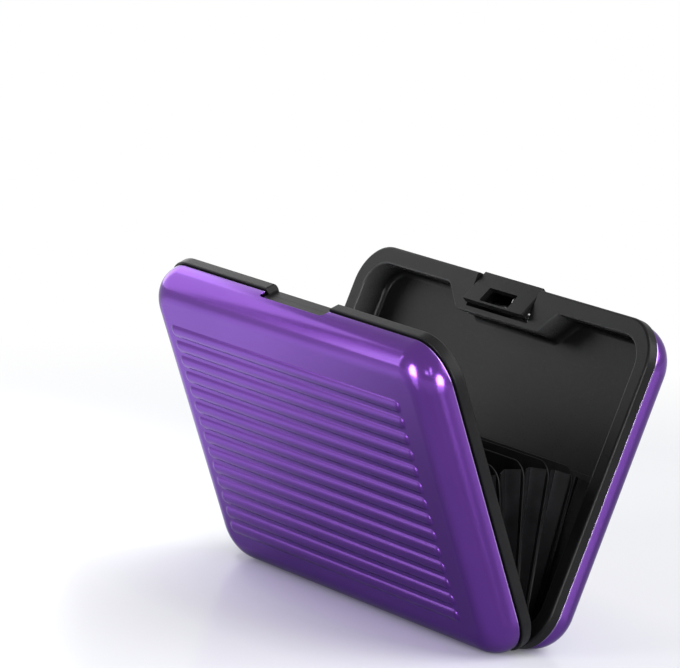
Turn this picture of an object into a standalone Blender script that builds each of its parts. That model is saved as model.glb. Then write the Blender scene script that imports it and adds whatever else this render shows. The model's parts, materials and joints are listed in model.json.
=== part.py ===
"""Aluminium card holder, standing open in a V on its hinge edge.

Two pressed aluminium skins are taped to black moulded frames. The frames are hinged along their long
bottom edges. The front half is ribbed and carries a hook. The rear half is smooth and carries a spring
lever, whose window catches the hook. An accordion of card pockets joins the two halves inside.

X runs along the hinge, the front half leans towards -Y and the rear half towards +Y, Z is up, metres.
Each half is drawn closed and upright: x along the hinge, t outwards from the parting plane, and
h up from the bottom edge. An empty on the hinge axis then leans it.
"""

import math

import bmesh
import bpy
from mathutils import Matrix, Vector

# Case halves
CASE_LENGTH = 0.110
CASE_HEIGHT = 0.075
HALF_DEPTH = 0.010
CORNER_RADIUS = 0.010
LEAN_DEGREES = 21.7
CLEARANCE = 0.0003
PARTING_CLEARANCE = 0.00015

# Aluminium skins
SKIN_WALL = 0.0008
SKIN_INSET = 0.0005
SKIN_EDGE_RADIUS = 0.0065
EDGE_STEPS = 6

# Ribs of the front skin
RIB_COUNT = 14
RIB_PITCH = 0.00385
RIB_LEFT_MARGIN = 0.008
RIB_RIGHT_MARGIN = 0.012
RIB_WIDTH = 0.0032
RIB_HEIGHT = 0.0005
RIB_ROOT = 0.0003
TOP_RIB_DROP = 0.0138

# Frames
RIM_DEPTH = 0.0028
RIM_BAND = 0.004
TRAY_FLOOR = 0.001
TAPE_THICKNESS = 0.0005
TAPE_BORDER = 0.0105
TAPE_CORNER_RADIUS = 0.004
RIM_OVERLAP = 0.0008
TRAY_CORNER_RADIUS = 0.0065
TRAY_FOOT_RADIUS = 0.0012

# Case hinge
HINGE_HEIGHT = 0.0025
HINGE_PIN_RADIUS = 0.00075
PIN_CLEARANCE = 0.00025
KNUCKLE_RADIUS = 0.0022
KNUCKLE_LENGTH = 0.0048
KNUCKLE_COUNT = 3
KNUCKLE_END_ROOM = 0.00045
HINGE_END_MARGIN = 0.017

# Latch opening in the rear skin
NOTCH_WIDTH = 0.025
NOTCH_DEPTH = 0.009
NOTCH_CORNER_RADIUS = 0.0025

# Latch lever
LEVER_WIDTH = 0.0224
LEVER_WALL = 0.0014
LEVER_PROUD = 0.0002
BUTTON_FOOT_DROP = 0.0061
LATCH_PIN_DROP = 0.0054
LATCH_PIN_DEPTH = 0.0066
LATCH_PIN_RADIUS = 0.00075
LATCH_PIN_GRIP = 0.0022
TONGUE_TOP_DEPTH = 0.0016
TONGUE_RISE = 0.0006
TONGUE_LENGTH = 0.0081
TONGUE_TILT_DEGREES = 25.6
CHEEK_WIDTH = 0.0015
CHEEK_MARGIN = 0.0014
WINDOW_WIDTH = 0.0105
WINDOW_TOP = 0.0037
WINDOW_STRIP = 0.0005

# Latch housing in the rear frame
HOUSING_TOP_WIDTH = 0.041
HOUSING_FOOT_WIDTH = 0.030
HOUSING_DROP = 0.0093
HOUSING_POCKET_DROP = 0.008
FIXED_PAD_DEPTH = 0.0021

# Torsion spring of the lever
SPRING_WIRE_RADIUS = 0.0002
SPRING_COIL_RADIUS = 0.00128
SPRING_TURNS = 5
SPRING_PITCH = 0.00095
SPRING_TURN_POINTS = 10
SPRING_LEG_CLEARANCE = 0.0003

# Thumb notch and catch in the front half
THUMB_DEPTH = 0.0014
THUMB_SLOPE = 0.0009
THUMB_HEM_DEPTH = 0.0051
THUMB_CORNER_RADIUS = 0.0015
THUMB_BAR = 0.0012
THUMB_BAR_RECESS = 0.0008
LAND_TOP_WIDTH = 0.030
LAND_FOOT_WIDTH = 0.026
LAND_DROP = 0.013
CATCH_POCKET_WIDTH = 0.0236
CATCH_POCKET_DROP = 0.0115
CATCH_WALL = 0.001
CATCH_FACE_DEPTH = 0.0023
HOOK_WIDTH = 0.006
HOOK_BAR = 0.0005
HOOK_BAR_SPACE = 0.0005
HOOK_REACH = 0.001
HOOK_HEADROOM = 0.0008
BARB_DROP = 0.0002
BARB_LENGTH = 0.0009
SCREW_SPREAD = 0.0186
SCREW_DROP = 0.008
SCREW_HEAD_RADIUS = 0.001
SCREW_HEAD_HEIGHT = 0.0005
SCREW_SHANK_RADIUS = 0.00055
SCREW_LENGTH = 0.0036

# Card pockets
POCKET_COUNT = 6
SHEET_THICKNESS = 0.0004
SHEET_END_MARGIN = 0.009
SHEET_TOP = 0.040
SHEET_CORNER_RADIUS = 0.004
SHEET_FOOT_CLEARANCE = 0.0007
GUSSET_THICKNESS = 0.0003
GUSSET_DEPTH = 0.0024
GUSSET_END_INSET = 0.0004
GUSSET_TOP_DROP = 0.0015

# Arc and cylinder fineness
ARC_STEP = math.radians(11.25)
ROUND_SIDES = 16
RIB_SIDES = 28
RIB_RINGS = 15
SPAN = 0.02

# Sizes that follow from those above
LEAN = math.radians(LEAN_DEGREES)
OPENING = 2 * LEAN
RIB_RADIUS = (RIB_WIDTH**2 / 4 + RIB_HEIGHT**2) / (2 * RIB_HEIGHT)
TOP_RIB_HEIGHT = CASE_HEIGHT - TOP_RIB_DROP
HINGE_SPREAD = CASE_LENGTH - 2 * HINGE_END_MARGIN
SHEET_LENGTH = CASE_LENGTH - 2 * SHEET_END_MARGIN
SKIN_BACK = RIM_DEPTH + CLEARANCE
SKIN_FLOOR = HALF_DEPTH - SKIN_WALL
TRAY_BACK = SKIN_FLOOR - TAPE_THICKNESS - 2 * CLEARANCE
TRAY_FACE = TRAY_BACK - TRAY_FLOOR
PLUG_INSET = SKIN_INSET + SKIN_WALL + CLEARANCE
PLUG_EDGE_RADIUS = SKIN_EDGE_RADIUS - (HALF_DEPTH - TRAY_BACK)
HINGE_BORE = HINGE_PIN_RADIUS + PIN_CLEARANCE
KNUCKLE_STEP = KNUCKLE_LENGTH + CLEARANCE
HINGE_GROUP = KNUCKLE_COUNT * KNUCKLE_STEP - CLEARANCE
SKIN_TOP = CASE_HEIGHT - SKIN_INSET
EDGE_CENTRE = Vector((HALF_DEPTH - SKIN_EDGE_RADIUS, SKIN_TOP - SKIN_EDGE_RADIUS))
LATCH_BORE = LATCH_PIN_RADIUS + PIN_CLEARANCE
LATCH_PIVOT = Vector((LATCH_PIN_DEPTH, CASE_HEIGHT - LATCH_PIN_DROP))
TONGUE_TILT = math.radians(TONGUE_TILT_DEGREES)
TONGUE_TOP = Vector((TONGUE_TOP_DEPTH, CASE_HEIGHT + TONGUE_RISE))
TONGUE_DOWN = Vector((-math.sin(TONGUE_TILT), -math.cos(TONGUE_TILT)))
TONGUE_BACK = Vector((math.cos(TONGUE_TILT), -math.sin(TONGUE_TILT)))
WINDOW_LENGTH = TONGUE_LENGTH - WINDOW_TOP - WINDOW_STRIP
WINDOW_HIGH = TONGUE_TOP + TONGUE_DOWN * WINDOW_TOP
HOOK_TOP = (WINDOW_HIGH + TONGUE_BACK * LEVER_WALL).y - HOOK_HEADROOM
NOTCH_FOOT = CASE_HEIGHT - NOTCH_DEPTH
BUTTON_FOOT = CASE_HEIGHT - BUTTON_FOOT_DROP
CATCH_BACK = CATCH_FACE_DEPTH + CATCH_WALL
FRONT_PANEL = POCKET_COUNT
SHEET_OUTER = TRAY_FACE - CLEARANCE - SHEET_THICKNESS / 2
SHEET_PITCH = 2 * SHEET_OUTER / POCKET_COUNT
SHEET_FOOT = KNUCKLE_RADIUS + SHEET_FOOT_CLEARANCE
SHEET_RISE = SHEET_TOP - HINGE_HEIGHT

# Maps a flat drawing to the half: an outline (x, h) gets its thickness along t, a profile (t, h)
# along x, and a plan (x, t) along h
OUTLINE_PLANE = Matrix(((1, 0, 0, 0), (0, 0, -1, 0), (0, 1, 0, 0), (0, 0, 0, 1)))
PROFILE_PLANE = Matrix(((0, 0, 1, 0), (1, 0, 0, 0), (0, 1, 0, 0), (0, 0, 0, 1)))
PLAN_PLANE = Matrix.Identity(4)


def clear_scene():
    for obj in list(bpy.data.objects):
        bpy.data.objects.remove(obj, do_unlink=True)


def new_collection(name):
    collection = bpy.data.collections.new(name)
    bpy.context.scene.collection.children.link(collection)
    return collection


def new_material(name, colour, metallic, roughness):
    material = bpy.data.materials.new(name)
    material.use_nodes = True
    shader = material.node_tree.nodes["Principled BSDF"]
    shader.inputs["Base Color"].default_value = (*colour, 1)
    shader.inputs["Metallic"].default_value = metallic
    shader.inputs["Roughness"].default_value = roughness
    return material


def filleted(corners):
    """Points of a closed outline from corners (u, v, radius), listed anticlockwise or clockwise."""
    points = []
    for i, (u, v, radius) in enumerate(corners):
        corner = Vector((u, v))
        before = (Vector(corners[i - 1][:2]) - corner).normalized()
        after = (Vector(corners[(i + 1) % len(corners)][:2]) - corner).normalized()
        half_angle = before.angle(after) / 2
        if radius <= 0:
            points.append(corner)
            continue
        reach = radius / math.tan(half_angle)
        start = corner + before * reach
        end = corner + after * reach
        centre = corner + (before + after).normalized() * (radius / math.sin(half_angle))
        turn = math.pi - 2 * half_angle
        steps = max(1, round(turn / ARC_STEP))
        sign = 1 if before.x * after.y - before.y * after.x < 0 else -1
        arm = start - centre
        for step in range(steps):
            angle = sign * turn * step / steps
            cos, sin = math.cos(angle), math.sin(angle)
            points.append(centre + Vector((arm.x * cos - arm.y * sin, arm.x * sin + arm.y * cos)))
        points.append(end)
    return points


def arc(centre, radius, first, last):
    """Points on an arc from angle first to angle last, both included."""
    steps = max(2, round(abs(last - first) / ARC_STEP))
    angles = [first + (last - first) * step / steps for step in range(steps + 1)]
    return [centre + radius * Vector((math.cos(a), math.sin(a))) for a in angles]


def half_outline(inset, radius=None):
    """The rounded rectangle of a half, drawn in by inset."""
    side = CASE_LENGTH / 2 - inset
    top = CASE_HEIGHT - inset
    corner = CORNER_RADIUS - inset if radius is None else radius
    return filleted(
        [(-side, inset, corner), (side, inset, corner), (side, top, corner), (-side, top, corner)]
    )


def box_outline(left, right, low, high, radius=0.0):
    return filleted(
        [(left, low, radius), (right, low, radius), (right, high, radius), (left, high, radius)]
    )


def mesh_object(name, mesh):
    obj = bpy.data.objects.new(name, mesh)
    bpy.context.scene.collection.objects.link(obj)
    return obj


def slab(name, points, low, high, plane=OUTLINE_PLANE):
    """A solid of a flat drawing between two levels, square to the drawing's plane."""
    curve = bpy.data.curves.new(name + "_drawing", "CURVE")
    curve.dimensions = "2D"
    curve.fill_mode = "BOTH"
    curve.extrude = (high - low) / 2
    spline = curve.splines.new("POLY")
    spline.points.add(len(points) - 1)
    for spot, point in zip(spline.points, points):
        spot.co = (point[0], point[1], 0, 1)
    spline.use_cyclic_u = True
    drawing = mesh_object(name + "_drawing", curve)
    graph = bpy.context.evaluated_depsgraph_get()
    mesh = bpy.data.meshes.new_from_object(drawing.evaluated_get(graph))
    bpy.data.objects.remove(drawing, do_unlink=True)
    work = bmesh.new()
    work.from_mesh(mesh)
    bmesh.ops.remove_doubles(work, verts=work.verts, dist=1e-6)
    bmesh.ops.dissolve_limit(work, angle_limit=math.radians(1), verts=work.verts, edges=work.edges)
    bmesh.ops.recalc_face_normals(work, faces=work.faces)
    work.to_mesh(mesh)
    work.free()
    mesh.transform(plane)
    along = Vector([abs(part) for part in plane.col[2][:3]])
    mesh.transform(Matrix.Translation(along * (low + high) / 2))
    return mesh_object(name, mesh)


def rod(name, radius, start, end, along="X", sides=ROUND_SIDES):
    """A cylinder on an axis through (t, h) of start, between two x, or along t between two depths."""
    work = bmesh.new()
    length = (end - start).length
    bmesh.ops.create_cone(
        work, cap_ends=True, segments=sides, radius1=radius, radius2=radius, depth=length
    )
    turn = Matrix.Rotation(math.pi / 2, 4, "Y" if along == "X" else "X")
    bmesh.ops.transform(work, matrix=Matrix.Translation((start + end) / 2) @ turn, verts=work.verts)
    mesh = bpy.data.meshes.new(name)
    work.to_mesh(mesh)
    work.free()
    return mesh_object(name, mesh)


def round_far_edge(obj, radius, depth):
    """Rounds the edges of a slab that lie at this depth along t."""
    mesh = obj.data
    weight = mesh.attributes.new("bevel_weight_edge", "FLOAT", "EDGE")
    for edge in mesh.edges:
        ends = [mesh.vertices[i].co.y for i in edge.vertices]
        weight.data[edge.index].value = float(all(abs(y - depth) < 1e-6 for y in ends))
    bevel = obj.modifiers.new("edge_radius", "BEVEL")
    bevel.limit_method = "WEIGHT"
    bevel.width = radius
    bevel.segments = EDGE_STEPS
    bevel.use_clamp_overlap = False


def boolean(target, tool, operation):
    modifier = target.modifiers.new(tool.name, "BOOLEAN")
    modifier.operation = operation
    modifier.object = tool


class Bench:
    """Files each finished object in its collection and under its empty."""

    def __init__(self):
        self.parts = new_collection("aluminium_card_holder")
        self.cutters = new_collection("cutters")

    def file(self, obj, collection, parent, offset):
        bpy.context.scene.collection.objects.unlink(obj)
        collection.objects.link(obj)
        obj.parent = parent
        obj.location = offset

    def part(self, obj, material, parent, offset):
        obj.data.materials.clear()
        obj.data.materials.append(material)
        self.file(obj, self.parts, parent, offset)

    def helper(self, obj, parent, offset):
        obj.hide_render = True
        obj.display_type = "WIRE"
        self.file(obj, self.cutters, parent, offset)


def new_empty(name, collection, parent, location, rotation):
    empty = bpy.data.objects.new(name, None)
    empty.empty_display_size = 0.01
    collection.objects.link(empty)
    empty.parent = parent
    empty.location = location
    empty.rotation_euler = rotation
    return empty


def lowest_point():
    """Depth of the lowest point of a leaning half below the hinge axis."""
    outline = arc(
        Vector((HALF_DEPTH - SKIN_EDGE_RADIUS, SKIN_INSET + SKIN_EDGE_RADIUS)),
        SKIN_EDGE_RADIUS,
        -math.pi / 2,
        0,
    )
    outline.append(Vector((RIM_DEPTH, 0)))
    heights = [(p.y - HINGE_HEIGHT) * math.cos(LEAN) - p.x * math.sin(LEAN) for p in outline]
    return -min(heights)


class Half:
    """What the two halves share: their empty, skin body, frame body, tape and pocket sheet."""

    def __init__(self, side, bench, finishes, axis_empty):
        self.side = side
        self.bench = bench
        self.finishes = finishes
        spin = math.pi if side == "front" else 0
        self.empty = new_empty(
            side + "_half_axis", bench.parts, axis_empty, (0, 0, 0), (-LEAN, 0, spin)
        )
        self.offset = Vector((0, 0, -HINGE_HEIGHT))
        # The front half is turned half round, so its x runs the other way
        self.x_sign = -1 if side == "front" else 1

    def part(self, obj, finish):
        self.bench.part(obj, self.finishes[finish], self.empty, self.offset)
        return obj

    def helper(self, obj):
        self.bench.helper(obj, self.empty, self.offset)
        return obj

    def cut(self, target, tool):
        boolean(target, self.helper(tool), "DIFFERENCE")

    def join(self, target, tool):
        boolean(target, self.helper(tool), "UNION")

    def skin_body(self, name):
        """The full outer form of the skin, solid."""
        body = slab(name, half_outline(SKIN_INSET), SKIN_BACK, HALF_DEPTH)
        round_far_edge(body, SKIN_EDGE_RADIUS, HALF_DEPTH)
        return body

    def skin(self):
        skin = self.skin_body(self.side + "_skin")
        hollow = slab(
            self.side + "_skin_hollow", half_outline(SKIN_INSET + SKIN_WALL), -SPAN, SKIN_FLOOR
        )
        round_far_edge(hollow, SKIN_EDGE_RADIUS - SKIN_WALL, SKIN_FLOOR)
        self.cut(skin, hollow)
        return self.part(skin, "anodised")

    def tape(self):
        outline = half_outline(TAPE_BORDER, TAPE_CORNER_RADIUS)
        low = TRAY_BACK + CLEARANCE
        return self.part(
            slab(self.side + "_skin_tape", outline, low, low + TAPE_THICKNESS), "tape"
        )

    def frame(self, cavity_corners):
        """The tray: rim, body inside the skin, cavity, relieved bottom edge."""
        frame = slab(self.side + "_frame", half_outline(0), PARTING_CLEARANCE, RIM_DEPTH)
        plug = slab(
            self.side + "_tray_body", half_outline(PLUG_INSET), RIM_DEPTH - RIM_OVERLAP, TRAY_BACK
        )
        round_far_edge(plug, PLUG_EDGE_RADIUS, TRAY_BACK)
        self.join(frame, plug)
        cavity = slab(self.side + "_cavity", filleted(cavity_corners), -SPAN, TRAY_FACE)
        round_far_edge(cavity, TRAY_FOOT_RADIUS, TRAY_FACE)
        self.cut(frame, cavity)
        drop = HINGE_HEIGHT + SPAN
        relief = [
            Vector((-SPAN, HINGE_HEIGHT)),
            Vector((PARTING_CLEARANCE, HINGE_HEIGHT)),
            Vector((PARTING_CLEARANCE + drop * math.tan(LEAN), -SPAN)),
            Vector((-SPAN, -SPAN)),
        ]
        reach = CASE_LENGTH / 2 + SPAN
        self.cut(
            frame, slab(self.side + "_bottom_relief", relief, -reach, reach, PROFILE_PLANE)
        )
        return self.part(frame, "frame_plastic")

    def cavity_corners(self, top_width, foot_width, drop):
        """The cavity's outline, which goes round a land at the middle of its top edge."""
        side = CASE_LENGTH / 2 - RIM_BAND
        top = CASE_HEIGHT - RIM_BAND
        foot = CASE_HEIGHT - drop
        ease = TRAY_CORNER_RADIUS / 3
        corner = TRAY_CORNER_RADIUS
        return [
            (-side, RIM_BAND, corner),
            (side, RIM_BAND, corner),
            (side, top, corner),
            (top_width / 2, top, ease),
            (foot_width / 2, foot, ease),
            (-foot_width / 2, foot, ease),
            (-top_width / 2, top, ease),
            (-side, top, corner),
        ]

    def knuckles(self, frame, own, other):
        """Adds this half's knuckles, and clears the other half's, at both hinge groups."""
        for word, middle in (("left", -HINGE_SPREAD / 2), ("right", HINGE_SPREAD / 2)):
            first = middle * self.x_sign - HINGE_GROUP / 2
            for place in other:
                start = first + place * KNUCKLE_STEP - KNUCKLE_END_ROOM
                end = start + KNUCKLE_LENGTH + 2 * KNUCKLE_END_ROOM
                self.cut(
                    frame,
                    rod(
                        f"{self.side}_{word}_room_{place}",
                        KNUCKLE_RADIUS + CLEARANCE,
                        Vector((start, 0, HINGE_HEIGHT)),
                        Vector((end, 0, HINGE_HEIGHT)),
                    ),
                )
            for place in own:
                start = first + place * KNUCKLE_STEP
                self.join(
                    frame,
                    rod(
                        f"{self.side}_{word}_knuckle_{place}",
                        KNUCKLE_RADIUS,
                        Vector((start, 0, HINGE_HEIGHT)),
                        Vector((start + KNUCKLE_LENGTH, 0, HINGE_HEIGHT)),
                    ),
                )
            self.cut(
                frame,
                rod(
                    f"{self.side}_{word}_bore",
                    HINGE_BORE,
                    Vector((first - 2 * CLEARANCE, 0, HINGE_HEIGHT)),
                    Vector((first + HINGE_GROUP + 2 * CLEARANCE, 0, HINGE_HEIGHT)),
                ),
            )


class RearHalf(Half):
    """The smooth half, with the latch lever."""

    def __init__(self, bench, finishes, axis_empty):
        super().__init__("rear", bench, finishes, axis_empty)
        self.lever_empty = new_empty(
            "latch_axis",
            bench.parts,
            self.empty,
            (0, LATCH_PIVOT.x, LATCH_PIVOT.y - HINGE_HEIGHT),
            (0, 0, 0),
        )

    def build(self):
        skin = self.skin()
        self.cut(skin, self.notch("rear_notch", 0))
        self.tape()
        corners = self.cavity_corners(HOUSING_TOP_WIDTH, HOUSING_FOOT_WIDTH, HOUSING_DROP)
        frame = self.frame(corners)
        self.fixed_pad(frame)
        self.lever_pocket(frame)
        self.knuckles(frame, (0, 2), (1,))
        self.hinge_pins()
        self.lever()
        self.latch_pin(frame)
        self.spring()

    def notch(self, name, inset):
        half = NOTCH_WIDTH / 2 - inset
        low = NOTCH_FOOT + inset
        outline = box_outline(-half, half, low, CASE_HEIGHT + SPAN, NOTCH_CORNER_RADIUS - inset)
        return slab(name, outline, 0, HALF_DEPTH + SPAN)

    def fixed_pad(self, frame):
        """The black pad that fills the skin's notch round the button."""
        pad = self.skin_body("latch_pad_form")
        boolean(pad, self.helper(self.notch("latch_pad_bounds", CLEARANCE)), "INTERSECT")
        self.join(frame, pad)
        # Joins the pad to the tray across the space that the tape and the skin take up
        half = NOTCH_WIDTH / 2 - CLEARANCE - NOTCH_CORNER_RADIUS
        low = NOTCH_FOOT + 2 * CLEARANCE
        outline = box_outline(-half, half, low, BUTTON_FOOT)
        self.join(frame, slab("latch_pad_root", outline, TRAY_FACE, HALF_DEPTH - SKIN_WALL))

    def lever_pocket(self, frame):
        """Room for the lever: open to the inside, over the rim and at the button."""
        foot = CASE_HEIGHT - HOUSING_POCKET_DROP
        step = HALF_DEPTH - FIXED_PAD_DEPTH
        button_foot = BUTTON_FOOT - CLEARANCE
        profile = [
            Vector((-SPAN, foot)),
            Vector((step, foot)),
            Vector((step, button_foot)),
            Vector((HALF_DEPTH + SPAN, button_foot)),
            Vector((HALF_DEPTH + SPAN, CASE_HEIGHT + SPAN)),
            Vector((-SPAN, CASE_HEIGHT + SPAN)),
        ]
        reach = LEVER_WIDTH / 2 + CLEARANCE
        self.cut(frame, slab("lever_pocket", profile, -reach, reach, PROFILE_PLANE))

    def lever(self):
        """Button pad outside, cap over the rim, tilted tongue inside, and two cheeks on the pin."""
        outer = SKIN_EDGE_RADIUS + LEVER_PROUD
        inner = outer - LEVER_WALL
        foot_rise = BUTTON_FOOT - EDGE_CENTRE.y
        tongue_foot = TONGUE_TOP + TONGUE_DOWN * TONGUE_LENGTH
        back = TONGUE_BACK * LEVER_WALL
        cap_height = EDGE_CENTRE.y + inner
        climb = (tongue_foot.y + back.y - cap_height) / TONGUE_DOWN.y
        inner_corner = tongue_foot + back - TONGUE_DOWN * climb
        hook = arc(EDGE_CENTRE, outer, math.asin(foot_rise / outer), math.pi / 2)
        hook += [TONGUE_TOP, tongue_foot, tongue_foot + back, inner_corner]
        hook += arc(EDGE_CENTRE, inner, math.pi / 2, math.asin(foot_rise / inner))
        half = LEVER_WIDTH / 2
        lever = slab("latch_lever", hook, -half, half, PROFILE_PLANE)
        cheek_radius = outer - LEVER_WALL / 2
        low = LATCH_PIVOT.y - CHEEK_MARGIN
        cheek = arc(
            EDGE_CENTRE, cheek_radius, math.asin(foot_rise / cheek_radius), math.pi / 2
        )
        cheek += [
            TONGUE_TOP + (TONGUE_DOWN + TONGUE_BACK) * LEVER_WALL / 2,
            TONGUE_TOP + TONGUE_DOWN * TONGUE_LENGTH / 2 + TONGUE_BACK * LEVER_WALL / 2,
            Vector((LATCH_PIVOT.x - CHEEK_MARGIN, low)),
            Vector((LATCH_PIVOT.x + CHEEK_MARGIN / 2, low)),
            Vector((HALF_DEPTH - FIXED_PAD_DEPTH - CLEARANCE, BUTTON_FOOT)),
        ]
        for word, start in (("left", -half), ("right", half - CHEEK_WIDTH)):
            tool = slab("lever_cheek_" + word, cheek, start, start + CHEEK_WIDTH, PROFILE_PLANE)
            boolean(lever, self.lever_helper(tool), "UNION")
        boolean(lever, self.lever_helper(self.window()), "DIFFERENCE")
        bore = rod(
            "lever_bore",
            LATCH_BORE,
            Vector((-half - CLEARANCE, *LATCH_PIVOT)),
            Vector((half + CLEARANCE, *LATCH_PIVOT)),
        )
        boolean(lever, self.lever_helper(bore), "DIFFERENCE")
        self.bench.part(
            lever,
            self.finishes["frame_plastic"],
            self.lever_empty,
            (0, -LATCH_PIVOT.x, -LATCH_PIVOT.y),
        )

    def lever_helper(self, obj):
        self.bench.helper(obj, self.lever_empty, (0, -LATCH_PIVOT.x, -LATCH_PIVOT.y))
        return obj

    def window(self):
        """The square window in the tongue, drawn square to the tongue's face."""
        low = WINDOW_HIGH + TONGUE_DOWN * WINDOW_LENGTH
        through = TONGUE_BACK * LEVER_WALL * 2
        profile = [low - through, low + through, WINDOW_HIGH + through, WINDOW_HIGH - through]
        return slab("lever_window", profile, -WINDOW_WIDTH / 2, WINDOW_WIDTH / 2, PROFILE_PLANE)

    def latch_pin(self, frame):
        reach = LEVER_WIDTH / 2 + CLEARANCE + LATCH_PIN_GRIP
        ends = [Vector((x, *LATCH_PIVOT)) for x in (-reach, reach)]
        self.part(rod("latch_pin", LATCH_PIN_RADIUS, *ends), "steel")
        reach += CLEARANCE
        ends = [Vector((x, *LATCH_PIVOT)) for x in (-reach, reach)]
        self.cut(frame, rod("latch_pin_bore", LATCH_BORE, *ends))

    def hinge_pins(self):
        for word, middle in (("left", -HINGE_SPREAD / 2), ("right", HINGE_SPREAD / 2)):
            ends = [
                Vector((middle + side * HINGE_GROUP / 2, 0, HINGE_HEIGHT)) for side in (-1, 1)
            ]
            self.part(rod("hinge_pin_" + word, HINGE_PIN_RADIUS, *ends), "steel")

    def spring(self):
        """A coil round the pin, with one leg up to the cap and one down to the pocket's foot."""
        count = SPRING_TURNS * SPRING_TURN_POINTS + SPRING_TURN_POINTS // 2
        coil = []
        for step in range(count + 1):
            angle = math.pi + 2 * math.pi * step / SPRING_TURN_POINTS
            x = SPRING_PITCH * (step / count - 0.5) * count / SPRING_TURN_POINTS
            coil.append(
                Vector(
                    (
                        x,
                        LATCH_PIVOT.x + SPRING_COIL_RADIUS * math.cos(angle),
                        LATCH_PIVOT.y + SPRING_COIL_RADIUS * math.sin(angle),
                    )
                )
            )
        inner = SKIN_EDGE_RADIUS + LEVER_PROUD - LEVER_WALL - SPRING_LEG_CLEARANCE
        up = coil[0].copy()
        run = up.y - EDGE_CENTRE.x
        up.z = EDGE_CENTRE.y + math.sqrt((inner - SPRING_WIRE_RADIUS) ** 2 - run**2)
        down = coil[-1].copy()
        down.y -= SPRING_COIL_RADIUS / 2
        down.z = CASE_HEIGHT - HOUSING_POCKET_DROP + SPRING_LEG_CLEARANCE
        report_gap("latch_spring", coil, SPRING_WIRE_RADIUS, SPRING_TURN_POINTS)
        curve = bpy.data.curves.new("latch_spring", "CURVE")
        curve.dimensions = "3D"
        curve.bevel_depth = SPRING_WIRE_RADIUS
        curve.bevel_resolution = 1
        curve.use_fill_caps = True
        spline = curve.splines.new("POLY")
        route = [up, *coil, down]
        spline.points.add(len(route) - 1)
        for spot, point in zip(spline.points, route):
            spot.co = (*point, 1)
        self.part(mesh_object("latch_spring", curve), "steel")


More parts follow.
